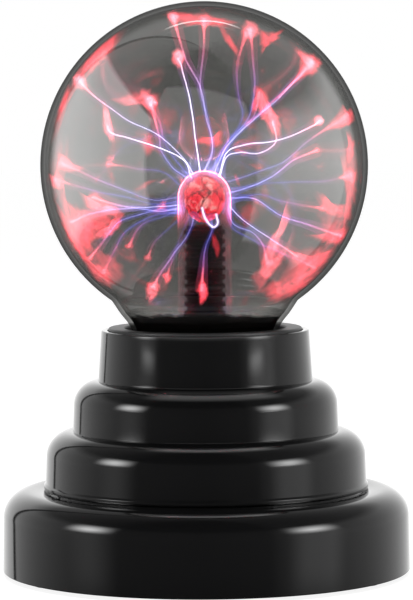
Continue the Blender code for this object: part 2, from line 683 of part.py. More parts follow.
def make_leads(finish):
    lift = [(-9.0, 3.4, 30.0), (-9.0, 4.4, 34.5), (-6.5, 4.0, 39.6), (-2.4, 1.4, 44.6), (0.0, 0.0, 48.0), (0.0, 0.0, 49.9)]
    wire("high_voltage_lead", lift, 1.0, finish["red"])
    right = [(28.6, 9.0, 9.0), (29.0, 8.4, 14.5), (27.8, 6.5, 19.0), (25.2, 5.0, 21.0)]
    wire("battery_lead_red", right, 0.65, finish["red"])
    left = [(-x, y, z) for x, y, z in right]
    wire("battery_lead_black", left, 0.65, finish["black"])
    supply = [(-3.8, 36.0, 10.5), (-5.0, 31.0, 15.0), (-5.5, 22.0, 19.5), (-5.5, 14.2, 21.0)]
    wire("socket_lead", supply, 0.65, finish["red"])
    tap = [(-17.0, 33.0, 11.5), (-15.5, 27.0, 15.5), (-14.0, 20.0, 19.5), (-13.5, 14.2, 21.0)]
    wire("switch_lead", tap, 0.65, finish["black"])


# Switch and socket


def make_switch(finish, wall_frame):
    """A slide switch behind the wall. Its knob is stored at one end of its travel."""
    black, steel, matte = finish["black"], finish["steel"], finish["matte"]
    middle = SWITCH_HEIGHT
    slot_low, slot_high = middle - SLOT_HEIGHT / 2, middle + SLOT_HEIGHT / 2
    half_slot = SLOT_LENGTH / 2
    back, front = SWITCH_PLATE - 0.5, SWITCH_PLATE
    plate = block("switch_frame", (-10.2, back, middle - 2.9), (10.2, front, middle + 2.9), steel)
    window = block("frame_window", (-half_slot, 43.0, slot_low), (half_slot, 46.0, slot_high), steel)
    body = block("switch_body", (-5.4, back - GAP - 5.0, middle - 2.8), (5.4, back - GAP, middle + 2.8), black)
    pocket = block("body_pocket", (-half_slot, 41.0, slot_low), (half_slot, 46.0, slot_high), black)
    low = (KNOB_REST - KNOB_LENGTH / 2, 41.0 + GAP, middle - KNOB_HEIGHT / 2)
    high = (KNOB_REST + KNOB_LENGTH / 2, KNOB_TIP, middle + KNOB_HEIGHT / 2)
    knob = block("switch_knob", low, high, matte)
    groove = block("knob_groove", (KNOB_REST - 0.5, KNOB_TIP - 0.5, 0.0), (KNOB_REST + 0.5, 60.0, 20.0), matte)
    holes, screws = [], []
    screw = [(0.0, -1.3), (1.2, -1.3), (1.8, -0.8), (1.8, -0.5 - GAP), (0.9, -0.5 - GAP), (0.9, 1.7), (0.0, 1.9)]
    for number, side in enumerate((-1, 1), 1):
        place = (side * SWITCH_SCREW_OFFSET, SWITCH_PLATE, middle)
        holes.append(disc(f"frame_hole_{number}", 0.9 + GAP, -3.0, 3.0, steel, SMALL, place, "Y"))
        screws.append(turned(f"switch_screw_{number}", screw, steel, 10, place, "Y"))
    combine(plate, "DIFFERENCE", window, *holes)
    combine(body, "DIFFERENCE", pocket)
    combine(knob, "DIFFERENCE", groove)
    for obj in (plate, window, body, pocket, knob, groove, *holes, *screws):
        obj.parent = wall_frame


def make_socket(finish):
    """A barrel socket with a centre pin. Its round nose fills the hole in the wall."""
    shoulder = 46.8
    low, high = (-4.5, SOCKET_BACK, SOCKET_HEIGHT - 4.7), (4.5, shoulder, SOCKET_HEIGHT + 4.7)
    body = block("socket_body", low, high, finish["matte"])
    at = (0.0, 0.0, SOCKET_HEIGHT)
    nose = disc("socket_nose", SOCKET_BARREL, shoulder - 1.0, SOCKET_MOUTH, finish["matte"], 16, at, "Y")
    bore = disc("socket_bore", SOCKET_BORE, 40.0, 52.0, finish["matte"], 16, at, "Y")
    combine(body, "UNION", nose)
    combine(body, "DIFFERENCE", bore)
    pin = [(0.0, 40.3), (1.0, 40.3), (1.0, 45.6), (0.6, 46.1), (0.0, 46.1)]
    turned("socket_pin", pin, finish["steel"], 10, at, "Y")


def make_wall_frame():
    """An empty on the axis whose +Y points out through the wall where the switch is."""
    frame = bpy.data.objects.new("switch_direction", None)
    frame.rotation_euler = (0.0, 0.0, math.radians(SWITCH_TURN))
    bpy.context.scene.collection.objects.link(frame)
    return frame


def build():
    clear_scene()
    finish = materials()
    wall_frame = make_wall_frame()
    make_globe(finish)
    make_stem(finish)
    make_exhaust_tip(finish)
    make_electrode(finish)
    make_collar_rings(finish)
    make_upper_housing(finish)
    make_lower_housing(finish, wall_frame)
    make_bottom_cover(finish)
    make_battery_door(finish)
    make_feet_and_screws(finish)
    for index in range(4):
        make_cell(index, finish)
        make_spring(index, finish)
    make_contact_plates(finish)
    make_board(finish)
    make_transformer(finish)
    make_power_stage(finish)
    make_leads(finish)
    make_switch(finish, wall_frame)
    make_socket(finish)


build()
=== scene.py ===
"""The looks of a lit plasma ball: glass darkened by painted shade and full of discharge threads, on a gloss
black stepped base.

Lengths are millimetres and each mesh is scaled to metres when it is made. The camera stands on the -Y side.
"""

import json
import math
from typing import NamedTuple

import bmesh
import bpy
from mathutils import Matrix, Vector, noise

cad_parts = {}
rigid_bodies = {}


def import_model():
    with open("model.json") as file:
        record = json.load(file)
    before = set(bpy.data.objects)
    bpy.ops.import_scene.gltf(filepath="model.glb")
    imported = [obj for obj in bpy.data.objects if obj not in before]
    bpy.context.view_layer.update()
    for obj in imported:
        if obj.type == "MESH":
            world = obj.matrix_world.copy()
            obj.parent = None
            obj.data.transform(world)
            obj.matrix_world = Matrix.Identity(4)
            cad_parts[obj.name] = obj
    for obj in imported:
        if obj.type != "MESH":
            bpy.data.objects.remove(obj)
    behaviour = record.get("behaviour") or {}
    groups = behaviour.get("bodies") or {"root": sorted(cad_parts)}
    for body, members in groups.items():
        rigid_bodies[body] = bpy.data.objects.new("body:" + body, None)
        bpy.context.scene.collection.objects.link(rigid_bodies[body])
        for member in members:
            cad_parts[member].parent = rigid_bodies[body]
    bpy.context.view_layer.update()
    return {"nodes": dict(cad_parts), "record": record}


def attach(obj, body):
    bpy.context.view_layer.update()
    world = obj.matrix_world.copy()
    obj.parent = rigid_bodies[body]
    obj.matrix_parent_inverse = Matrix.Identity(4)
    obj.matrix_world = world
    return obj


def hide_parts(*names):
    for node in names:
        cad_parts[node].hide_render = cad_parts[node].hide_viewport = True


MM = 0.001
SEED = 11
FINE = 192
ARC_STEPS = 14
LAMP, DOOR, KNOB = "lamp", "door", "knob"
WHITE = (1.0, 1.0, 1.0, 1.0)
SMOOTH = "SMOOTHSTEP"

# The camera
EYE_DISTANCE = 776.0
EYE_HEIGHT = 117.4
EYE_RIGHT = 0.37
EYE_TILT = 3.71
EYE_ROLL = -0.35
LENS = 126.96
SENSOR_HEIGHT = 24.0

# Glass
GLOBE_RADIUS = 40.0
GLOBE_CENTRE = Vector((0.0, 0.0, 100.0))
GLASS = 1.1
NECK_TOP_RADIUS = 22.8
NECK_TOP = 67.0
NECK_RADIUS = 17.2
NECK_BOTTOM = 49.2
NECK_PASSING = 0.76
NECK_CLEAR_TO = 60.0
GLOBE_DARK_FROM = 72.0
PAINT_FULL = 61.2
PAINT_TOP = 63.2
STEM_RADIUS = 6.3
STEM_WALL = 0.9
STEM_TOP = 98.6
SKIN_BOTTOM = 64.0
DOME_CENTRE = Vector((0.0, 0.0, STEM_TOP - STEM_RADIUS))
FLARE_RADIUS = 15.8

# Electrode
WOOL_RADIUS = 5.3
WOOL_BOTTOM = 86.0
SLEEVE_RADIUS = 5.1
SLEEVE_BORE = 2.4
SLEEVE_BOTTOM = 59.0
SLEEVE_TOP = 85.5
RIB_PITCH = 2.2
RIB_DEPTH = 0.7

# Discharge
THREAD_START = 6.45
WALL_REACH = 38.7
CURL = (
    Vector((-0.6, -6.6, 90.0)),
    Vector((0.2, -7.4, 87.4)),
    Vector((2.0, -7.6, 85.3)),
    Vector((3.2, -7.0, 86.2)),
    Vector((2.8, -6.8, 88.5)),
)

# Base
COLLAR_TOP = 59.9
COLLAR_RIM = 25.5
COLLAR_FOOT = 26.3
STEP_2_TOP = 47.6
STEP_2_RADIUS = 32.6
STEP_2_ROUND = 6.0
STEP_3_TOP = 35.3
STEP_3_RADIUS = 39.4
STEP_3_ROUND = 6.3
STEP_4_TOP = 20.8
STEP_4_ROUND = 6.5
BASE_RADIUS = 50.0
BASE_BOTTOM = 1.0
DRAFT = 0.25
WALL = 1.8
SPIGOT_RADIUS = 38.0
SPIGOT_BOTTOM = 18.0
RING_BORE = 19.7
RING_RADIUS = 23.7
RING_BOTTOM = 58.8
RING_TOP = 60.5
SEAT_RADIUS = 24.0
SEAT_HEIGHT = 58.5
COLLAR_BORE = 22.9
SHELF_HOLE = 13.5
SHELF_TOP = 48.9
SHELF_BOTTOM = 46.9
POST_RADIUS = 2.7
POST_BOTTOM = 5.8
POST_TOP = 33.9
PILOT_RADIUS = 1.55
PILOT_TOP = 15.0
COVER_RADIUS = 47.7
COVER_BOTTOM = 0.7
COVER_TOP = 2.5

# Underside
SCREW_CIRCLE = 33.8
SCREW_ANGLES = (0.0, 90.0, 180.0, 270.0)
WELL_RADIUS = 3.1
WELL_TOP = 3.5
FOOT_RADIUS = 4.0
FOOT_HEIGHT = 1.2
FOOT_CIRCLE = 43.0
FOOT_ANGLES = (30.0, 150.0, 210.0, 330.0)
BAY_MIDDLE_Y = -6.0
BAY_HALF_LENGTH = 26.0
BAY_HALF_WIDTH = 22.5
BAY_WALL = 1.3
BAY_CEILING = 14.1
BAY_TOP = 15.3
DOOR_TOP = 2.3
DOOR_GAP = 0.4
HOOK_OFFSETS = (-12.0, 12.0)
HOOK_WIDTH = 6.0
LATCH_Y = -9.0

# Batteries
CELL_RADIUS = 5.25
CELL_LENGTH = 44.5
CELL_PITCH = 11.0
CELL_HEIGHT = 8.5
CELL_REACH = 25.0
PLATE_FACE = 25.3

# Switch and socket
SWITCH_TURN = 30.0
SWITCH_HEIGHT = 9.6
KNOB_LENGTH = 4.0
KNOB_HEIGHT = 3.2
KNOB_REST = -2.0
KNOB_ROOT = 41.3
KNOB_TIP = 51.4
SLOT_LENGTH = 8.6
SLOT_HEIGHT = 3.8
SOCKET_HEIGHT = 9.2
SOCKET_BORE = 3.2
SOCKET_BARREL = 3.9
SOCKET_MOUTH = 49.4
SOCKET_BACK = 38.5


# Materials


def node(tree, kind, values=None, **settings):
    """Adds a shader node. A value that is another node's output is linked, and any other is set."""
    made = tree.nodes.new(f"ShaderNode{kind}")
    for key, setting in settings.items():
        setattr(made, key, setting)
    for key, value in (values or {}).items():
        if isinstance(value, bpy.types.NodeSocket):
            tree.links.new(value, made.inputs[key])
        else:
            made.inputs[key].default_value = value
    return made


def output(tree, kind, values=None, **settings):
    """The first output of a new shader node."""
    return node(tree, kind, values, **settings).outputs[0]


def math_node(tree, operation, first, second=0.0, third=0.0):
    return output(tree, "Math", {0: first, 1: second, 2: third}, operation=operation)


def with_alpha(value):
    return (*value, 1.0) if isinstance(value, tuple) else value


def mix_colour(tree, factor, first, second, blend="MIX"):
    values = {0: factor, 6: with_alpha(first), 7: with_alpha(second)}
    return node(tree, "Mix", values, data_type="RGBA", blend_type=blend).outputs[2]


def ramp(tree, factor, stops):
    """A colour ramp with (position, grey or colour) stops."""
    made = node(tree, "ValToRGB", {"Fac": factor})
    elements = made.color_ramp.elements
    while len(elements) < len(stops):
        elements.new(0.5)
    for element, (position, colour) in zip(elements, stops):
        element.position = position
        element.color = with_alpha(colour if isinstance(colour, tuple) else (colour,) * 3)
    return made.outputs["Color"]


def mapped(tree, value, low=0.0, high=1.0, start=0.0, end=1.0, way="LINEAR"):
    """Goes from start to end as the value goes from low to high."""
    values = {"Value": value, "From Min": low, "From Max": high, "To Min": start, "To Max": end}
    return output(tree, "MapRange", values, interpolation_type=way)


def object_place(tree):
    return node(tree, "TexCoord").outputs["Object"]


def object_height(tree):
    return node(tree, "SeparateXYZ", {"Vector": object_place(tree)}).outputs["Z"]


def edge_on(tree):
    """Goes from 0 where the surface is seen square on to 1 where it's seen edge on."""
    return node(tree, "LayerWeight", {"Blend": 0.5}).outputs["Facing"]


def noise_value(tree, place, scale, detail=2.0, roughness=0.5):
    values = {"Vector": place, "Scale": scale, "Detail": detail, "Roughness": roughness}
    return output(tree, "TexNoise", values)


def bump(tree, height, strength, depth):
    """A bump of depth millimetres."""
    return output(tree, "Bump", {"Height": height, "Strength": strength, "Distance": depth * MM})


def clear(tree):
    return output(tree, "BsdfTransparent", {"Color": WHITE})


def blank(name):
    made = bpy.data.materials.new(name)
    made.use_nodes = True
    made.node_tree.nodes.clear()
    return made, made.node_tree


def finish_with(made, surface):
    node(made.node_tree, "OutputMaterial", {"Surface": surface})
    return made


def solid(made, values):
    return finish_with(made, output(made.node_tree, "BsdfPrincipled", values))


def part_mirror(made, passed, share):
    """Mirrors a share of the light, and lets the rest through in the colour passed."""
    tree = made.node_tree
    see = output(tree, "BsdfTransparent", {"Color": passed})
    shine = output(tree, "BsdfAnisotropic", {"Color": WHITE, "Roughness": 0.03})
    return finish_with(made, output(tree, "MixShader", {0: share, 1: see, 2: shine}))


def overlaid(made, colour, strength):
    """Lays light over what is behind. The mesh isn't sampled as a lamp."""
    tree = made.node_tree
    light = output(tree, "Emission", {"Color": colour, "Strength": strength})
    made.cycles.emission_sampling = "NONE"
    return finish_with(made, output(tree, "AddShader", {0: light, 1: clear(tree)}))


def moulded(name, colour, roughness, spread, grain, depth, coat=0.0, metallic=0.0):
    """Plastic, rubber or metal whose roughness varies by spread and whose surface has a fine grain."""
    made, tree = blank(name)
    place = object_place(tree)
    cloud = noise_value(tree, place, 60.0, 3.0)
    fine = noise_value(tree, place, grain, 3.0)
    values = {
        "Base Color": mix_colour(tree, cloud, tuple(c * 0.75 for c in colour), colour),
        "Roughness": mapped(tree, cloud, 0.0, 1.0, roughness - spread, roughness + spread),
        "Metallic": metallic,
        "Coat Weight": coat,
        "Coat Roughness": 0.04,
        "Normal": bump(tree, fine, 0.35, depth),
    }
    return solid(made, values)


def shaded_glass(name, passing, mirror, edge):
    """One face of the globe's wall. Its grey tint is painted shade, standing in for dark surroundings seen
    through clear glass. It mirrors some of the light and lets the share passing through. Where it's seen edge
    on it mirrors little and is darker by the factor edge, a painted dark outline. The neck is clearer."""
    made, tree = blank(name)
    grazing = edge_on(tree)
    upper = mapped(tree, object_height(tree), NECK_CLEAR_TO * MM, GLOBE_DARK_FROM * MM, way=SMOOTH)
    # Painted shade: the tint darkens what shows through the globe, and darkens it more edge on as a dark
    # outline.
    globe = mapped(tree, grazing, 0.50, 0.95, passing, passing * edge, SMOOTH)
    neck = mapped(tree, grazing, 0.35, 0.90, NECK_PASSING, NECK_PASSING * 0.5, SMOOTH)
    level = mapped(tree, upper, 0.0, 1.0, neck, globe)
    blue = math_node(tree, "MULTIPLY", level, 0.985)
    passed = output(tree, "CombineColor", {"Red": level, "Green": level, "Blue": blue})
    return part_mirror(made, passed, mapped(tree, grazing, 0.56, 0.66, mirror, 0.04, SMOOTH))


def thin_glass(name, tint, mirror):
    """Clear glass that mirrors a little, and most where it's seen edge on."""
    made, tree = blank(name)
    grazing = math_node(tree, "POWER", edge_on(tree), 3.0)
    return part_mirror(made, (*tint, 1.0), math_node(tree, "MULTIPLY_ADD", grazing, mirror, 0.03))


def added_light(name, strength):
    """Light in the colour of the mesh's own glow attribute."""
    made, tree = blank(name)
    return overlaid(made, output(tree, "Attribute", attribute_name="glow"), strength)


def sheath(name, colour, strength, power, fade_bottom, fade_top, floor=0.0):
    """Glowing gas round the stem: brightest where it's seen edge on, and fading down the stem."""
    made, tree = blank(name)
    edge = math_node(tree, "POWER", edge_on(tree), power)
    fade = mapped(tree, object_height(tree), fade_bottom * MM, fade_top * MM, floor, 1.0, SMOOTH)
    level = math_node(tree, "MULTIPLY", edge, fade)
    return overlaid(made, (*colour, 1.0), math_node(tree, "MULTIPLY", level, strength))


def glowing_wool(name):
    """Crumpled wool, lit from within, whose glow is dimmed along the creases between its bright folds:
    painted shade.
    """
    made, tree = blank(name)
    place = object_place(tree)
    wobble = node(tree, "TexNoise", {"Vector": place, "Scale": 260.0, "Detail": 2.0}).outputs["Color"]
    shift = output(tree, "VectorMath", {0: wobble, "Scale": 0.0022}, operation="SCALE")
    bent = output(tree, "VectorMath", {0: place, 1: shift}, operation="ADD")
    crease = output(tree, "TexVoronoi", {"Vector": bent, "Scale": 200.0}, feature="DISTANCE_TO_EDGE")
    reds = ((0.30, (0.20, 0.003, 0.006)), (0.44, (0.80, 0.015, 0.035)), (0.60, (1.0, 0.07, 0.09)))
    red = ramp(tree, noise_value(tree, place, 190.0, 3.0, 0.65), reds)
    spots = ramp(tree, noise_value(tree, place, 330.0), ((0.52, 0.0), (0.66, 1.0)))
    warm = mix_colour(tree, spots, red, (1.0, 0.42, 0.40))
    # Painted shade: the glow drops to a tenth along the creases.
    crease_shade = ramp(tree, crease, ((0.0, 0.10), (0.05, 1.0)))
    values = {
        "Base Color": (0.55, 0.08, 0.07, 1.0),
        "Metallic": 0.7,
        "Roughness": 0.35,
        "Emission Color": mix_colour(tree, 1.0, warm, crease_shade, "MULTIPLY"),
        "Emission Strength": 3.4,
    }
    return solid(made, values)


def neck_coating(name):
    """Black paint on the inside of the neck. Its upper edge is thin and streaky, and lower at the back."""
    made, tree = blank(name)
    place = object_place(tree)
    axes = node(tree, "SeparateXYZ", {"Vector": place})
    streak = noise_value(tree, place, 240.0, 4.0, 0.6)
    lift = math_node(tree, "MULTIPLY_ADD", streak, 2.6 * MM, -1.3 * MM)
    slant = math_node(tree, "MULTIPLY_ADD", axes.outputs["Y"], 0.09, lift)
    level = math_node(tree, "ADD", axes.outputs["Z"], slant)
    edge = mapped(tree, level, PAINT_FULL * MM, PAINT_TOP * MM)
    cover = ramp(tree, edge, ((0.0, 0.95), (0.6, 0.84), (1.0, 0.0)))
    tint = mix_colour(tree, streak, (0.010, 0.009, 0.008), (0.085, 0.070, 0.062))
    paint = output(tree, "BsdfPrincipled", {"Base Color": tint, "Roughness": 0.35})
    return finish_with(made, output(tree, "MixShader", {0: cover, 1: clear(tree), 2: paint}))


def wound_wire(name, colour, pitch):
    """Fine wire wound in close turns round Z."""
    made, tree = blank(name)
    turn = math_node(tree, "MULTIPLY", object_height(tree), math.tau / (pitch * MM))
    cloud = noise_value(tree, object_place(tree), 400.0)
    values = {
        "Base Color": mix_colour(tree, cloud, tuple(c * 0.7 for c in colour), colour),
        "Roughness": 0.3,
        "Metallic": 0.6,
        "Normal": bump(tree, math_node(tree, "SINE", turn), 0.6, 0.1),
    }
    return solid(made, values)


def circuit_green(name):
    """Solder mask over copper tracks."""
    made, tree = blank(name)
    values = {"Scale": 320.0, "Brick Width": 1.2, "Row Height": 0.5, "Mortar Size": 0.05}
    values["Vector"] = object_place(tree)
    track = node(tree, "TexBrick", values).outputs["Fac"]
    tint = mix_colour(tree, track, (0.010, 0.11, 0.035), (0.03, 0.24, 0.08))
    return solid(made, {"Base Color": tint, "Roughness": 0.35, "Normal": bump(tree, track, 0.3, 0.05)})


def cell_wrap(name):
    """Printed film: a copper-coloured end over a dark body, with a thin light band between."""
    made, tree = blank(name)
    along = node(tree, "Attribute", attribute_name="along").outputs["Fac"]
    tint = ramp(tree, along, CELL_SHADES)
    tint.node.color_ramp.interpolation = "CONSTANT"
    film = bump(tree, noise_value(tree, object_place(tree), 700.0), 0.1, 0.02)
    return solid(made, {"Base Color": tint, "Roughness": 0.25, "Metallic": 0.5, "Normal": film})


# Each moulded finish: colour, roughness, its spread, scale and depth (mm) of the grain, coat, metal
MOULDED = {
    "gloss_black": ((0.0055, 0.0055, 0.0058), 0.085, 0.02, 900, 0.004),
    "matte_black": ((0.016, 0.016, 0.017), 0.42, 0.06, 2600, 0.05),
    "sleeve_black": ((0.034, 0.033, 0.034), 0.40, 0.08, 1800, 0.02),
    "rubber": ((0.022, 0.022, 0.023), 0.78, 0.06, 1500, 0.06),
    "foam": ((0.035, 0.035, 0.038), 0.95, 0.02, 1100, 0.25),
    "steel": ((0.62, 0.62, 0.64), 0.26, 0.08, 1400, 0.01, 0.0, 1.0),
    "brass": ((0.75, 0.56, 0.26), 0.28, 0.06, 1400, 0.01, 0.0, 1.0),
    "ferrite": ((0.045, 0.045, 0.05), 0.55, 0.08, 1600, 0.03),
    "bobbin": ((0.60, 0.55, 0.44), 0.45, 0.06, 900, 0.02),
    "winding_tape": ((0.72, 0.55, 0.06), 0.35, 0.06, 500, 0.03),
    "aluminium": ((0.68, 0.69, 0.71), 0.34, 0.08, 1200, 0.02, 0.0, 1.0),
    "capacitor_blue": ((0.03, 0.07, 0.24), 0.30, 0.05, 700, 0.01),
    "film_brown": ((0.42, 0.10, 0.03), 0.30, 0.05, 600, 0.02, 0.4),
    "red_lead": ((0.60, 0.02, 0.02), 0.42, 0.05, 900, 0.01),
    "black_lead": ((0.014, 0.014, 0.014), 0.42, 0.05, 900, 0.01),
}
# The wrap's colours by their start along the cell
CELL_SHADES = (
    (0.0, (0.30, 0.31, 0.32)),
    (0.02, (0.012, 0.030, 0.035)),
    (0.66, (0.62, 0.60, 0.55)),
    (0.675, (0.55, 0.22, 0.07)),
    (0.965, (0.60, 0.60, 0.62)),
)


def make_materials():
    look = {name: moulded(name, *values) for name, values in MOULDED.items()}
    look |= {
        # The globe's two faces carry painted shade in their tint.
        "outer_glass": shaded_glass("outer_glass", 0.72, 0.25, 0.16),
        "inner_glass": shaded_glass("inner_glass", 0.56, 0.12, 0.90),
        "stem_glass": thin_glass("stem_glass", (0.95, 0.93, 0.94), 0.8),
        "coating": neck_coating("neck_coating"),
        "electrode_wool": glowing_wool("electrode_wool"),
        "cell_wrap": cell_wrap("cell_wrap"),
        "board_green": circuit_green("board_green"),
        "copper": wound_wire("copper", (0.72, 0.32, 0.14), 0.32),
        "core": added_light("discharge_core", 2.0),
        "halo": added_light("discharge_halo", 1.0),
        "funnel": added_light("discharge_funnel", 0.8),
        "wall_glow": added_light("wall_glow", 2.1),
        "card": added_light("card", 1.0),
    }
    return look


# Shapes


def arc(radius, height, size, start, end, steps=ARC_STEPS):
    """Points of an arc about (radius, height), from one angle to another in degrees."""
    turns = [math.radians(start + (end - start) * i / steps) for i in range(steps + 1)]
    return [(radius + size * math.cos(t), height + size * math.sin(t)) for t in turns]


def round_axis(radius, angles):
    """Places at z = 0 on a circle round the lamp's axis, one for each angle in degrees."""
    turns = [math.radians(degrees) for degrees in angles]
    return [Vector((radius * math.cos(t), radius * math.sin(t), 0.0)) for t in turns]


def direction(azimuth, elevation):
    """A unit vector. Azimuth 0 points at the camera's side and 90 to the right of it."""
    across, up = math.radians(azimuth), math.radians(elevation)
    return Vector((math.sin(across) * math.cos(up), -math.cos(across) * math.cos(up), math.sin(up)))


def as_object(name, shape, *finishes, sharp=35.0, outward=True):
    """Makes an object from a bmesh in millimetres."""
    if outward:
        bmesh.ops.recalc_face_normals(shape, faces=shape.faces)
    mesh = bpy.data.meshes.new(name)
    shape.to_mesh(mesh)
    shape.free()
    mesh.transform(Matrix.Scale(MM, 4))
    for finish in finishes:
        mesh.materials.append(finish)
    mesh.shade_smooth()
    mesh.set_sharp_from_angle(angle=math.radians(sharp))
    obj = bpy.data.objects.new(name, mesh)
    bpy.context.scene.collection.objects.link(obj)
    return obj


def turned_shape(outline, sides=FINE):
    """Spins (radius, height) points round Z. An outline that leaves the axis is closed into a ring."""
    shape = bmesh.new()
    points = [shape.verts.new((radius, 0.0, height)) for radius, height in outline]
    pairs = list(zip(points, points[1:]))
    if outline[0][0] > 0.0 or outline[-1][0] > 0.0:
        pairs.append((points[-1], points[0]))
    edges = [shape.edges.new(pair) for pair in pairs]
    sweep = {"axis": (0.0, 0.0, 1.0), "cent": (0.0, 0.0, 0.0), "angle": math.tau, "steps": sides}
    bmesh.ops.spin(shape, geom=points + edges, use_merge=True, **sweep)
    bmesh.ops.remove_doubles(shape, verts=shape.verts, dist=1e-5)
    return shape


def turn_to(shape, along):
    if along == "Y":
        bmesh.ops.rotate(shape, verts=shape.verts, matrix=Matrix.Rotation(math.radians(-90), 3, "X"))
    elif along == "X":
        bmesh.ops.rotate(shape, verts=shape.verts, matrix=Matrix.Rotation(math.radians(90), 3, "Y"))


def turned(name, outline, finish, sides=FINE, at=(0.0, 0.0, 0.0), along="Z", sharp=35.0):
    shape = turned_shape(outline, sides)
    turn_to(shape, along)
    bmesh.ops.translate(shape, vec=Vector(at), verts=shape.verts)
    return as_object(name, shape, finish, sharp=sharp)


def block(name, low, high, finish, bevel=0.0):
    """A box between two corners, with rounded edges if it has a bevel."""
    low, high = Vector(low), Vector(high)
    shape = bmesh.new()
    bmesh.ops.create_cube(shape, size=1.0)
    bmesh.ops.scale(shape, vec=high - low, verts=shape.verts)
    bmesh.ops.translate(shape, vec=(low + high) / 2, verts=shape.verts)
    if bevel:
        rounding = {"offset": bevel, "segments": 3, "profile": 0.5, "affect": "EDGES"}
        bmesh.ops.bevel(shape, geom=shape.edges[:], **rounding)
    return as_object(name, shape, finish)


def extruded(name, outline, start, end, finish):
    """Extrudes an outline of (x, z) points along Y."""
    shape = bmesh.new()
    face = shape.faces.new([shape.verts.new((x, start, z)) for x, z in outline])
    made = bmesh.ops.extrude_face_region(shape, geom=[face])
    moved = [v for v in made["geom"] if isinstance(v, bmesh.types.BMVert)]
    bmesh.ops.translate(shape, vec=(0.0, end - start, 0.0), verts=moved)
    return as_object(name, shape, finish)


def combined(obj, additions=(), cuts=()):
    """Joins the additions to obj and takes the cuts from it, then keeps the result as obj's own mesh."""
    groups = []
    for operation, tools in (("UNION", additions), ("DIFFERENCE", cuts)):
        if not tools:
            continue
        group = bpy.data.collections.new(f"{obj.name}_{operation}")
        for tool in tools:
            group.objects.link(tool)
        modifier = obj.modifiers.new(operation, "BOOLEAN")
        modifier.operation = operation
        modifier.solver = "EXACT"
        modifier.operand_type = "COLLECTION"
        modifier.collection = group
        groups.append(group)
    bpy.context.view_layer.update()
    graph = bpy.context.evaluated_depsgraph_get()
    mesh = bpy.data.meshes.new_from_object(obj.evaluated_get(graph))
    obj.modifiers.clear()
    obj.data = mesh
    mesh.shade_smooth()
    mesh.set_sharp_from_angle(angle=math.radians(30))
    for group in groups:
        for tool in list(group.objects):
            bpy.data.objects.remove(tool, do_unlink=True)
        bpy.data.collections.remove(group)
    return obj


def turn_about_axis(obj, degrees):
    """Turns an object's mesh about the lamp's axis."""
    obj.data.transform(Matrix.Rotation(math.radians(degrees), 4, "Z"))
    return obj


def place_piece(obj, body, slot, *nodes):
    """Says which body a finished piece rides on and the CAD nodes that it stands for. The slot is not used.
    """
    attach(obj, body)
    if nodes:
        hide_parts(*nodes)
    return obj


# Glass and electrode


def sphere_arc(radius, end_radius, steps=64):
    """The globe's outline from its top down to where it's end_radius wide."""
    last = -math.degrees(math.acos(end_radius / radius))
    return [(0.0, GLOBE_CENTRE.z + radius), *arc(0.0, GLOBE_CENTRE.z, radius, 90, last, steps)[1:]]


def smooth_line(corners, steps):
    """Points on a Catmull-Rom curve through the corners."""
    corners = [Vector(c) for c in corners]
    ends = [2 * corners[0] - corners[1], *corners, 2 * corners[-1] - corners[-2]]
    route = []
    for a, b, c, d in zip(ends, ends[1:], ends[2:], ends[3:]):
        for step in range(steps):
            t = step / steps
            linear = (c - a) * t
            square = (2 * a - 5 * b + 4 * c - d) * t * t
            cube = (3 * b - a - 3 * c + d) * t * t * t
            route.append((2 * b + linear + square + cube) / 2)
    return [*route, corners[-1]]


def neck_line(inset):
    """The neck's outline from the sphere down to its cut end, moved inwards by inset."""
    outer = [(NECK_TOP_RADIUS, 67.13), (20.8, 64.1), (19.0, 61.8), (17.8, 59.6)]
    outer += [(NECK_RADIUS, 56.8), (NECK_RADIUS, 52.0)]
    corners = [(radius - inset, height + 0.3 * inset) for radius, height in outer]
    return [tuple(point) for point in smooth_line(corners, 6)] + [(NECK_RADIUS - inset, NECK_BOTTOM)]


def make_globe(look):
    """The globe with its neck. Its inner faces have a finish of their own."""
    outer = sphere_arc(GLOBE_RADIUS, NECK_TOP_RADIUS)[:-1] + neck_line(0.0)
    inner = sphere_arc(GLOBE_RADIUS - GLASS, NECK_TOP_RADIUS - 1.0)[:-1] + neck_line(GLASS)
    shape = turned_shape(outer + inner[::-1])
    globe = as_object("globe", shape, look["outer_glass"], look["inner_glass"], sharp=60.0)
    for face in globe.data.polygons:
        centre = face.center / MM
        within = (centre - GLOBE_CENTRE).length < GLOBE_RADIUS - GLASS / 2
        if centre.z < NECK_TOP:
            centre.z = 0.0
            within = face.normal.dot(centre) < 0.0 and centre.length < NECK_TOP_RADIUS - 0.8
        face.material_index = int(within)
    place_piece(globe, LAMP, "clear_glass", "globe_envelope")
    return globe


def make_coating(look):
    """A skin just inside the neck's wall."""
    outline = [(r - GLASS - 0.12, z + 0.3 * GLASS) for r, z in neck_line(0.0)[:-1]]
    outline = [point for point in outline if point[1] < NECK_TOP]
    inner = [(r - 0.15, z) for r, z in outline]
    coating = turned("neck_coating", outline + inner[::-1], look["coating"])
    return place_piece(coating, LAMP, "sleeve_black")


def make_stem(look):
    bore = STEM_RADIUS - STEM_WALL
    flare = [(STEM_RADIUS, 62.0), (6.9, 58.5), (8.6, 55.2), (12.0, 52.8), (FLARE_RADIUS, 51.8)]
    under = [(FLARE_RADIUS, 50.9), (11.8, 51.8), (7.9, 54.4), (6.0, 58.2), (bore, 62.0)]
    dome = arc(0.0, DOME_CENTRE.z, STEM_RADIUS, 90, 0, 20)
    hollow = arc(0.0, DOME_CENTRE.z, bore, 0, 90, 20)
    outline = [(0.0, STEM_TOP), *dome[1:], *[tuple(p) for p in smooth_line(flare, 4)]]
    outline += [*[tuple(p) for p in smooth_line(under, 4)], *hollow[:-1], (0.0, DOME_CENTRE.z + bore)]
    stem = turned("stem", outline, look["stem_glass"], 96, sharp=60.0)
    return place_piece(stem, LAMP, "clear_glass", "electrode_stem")


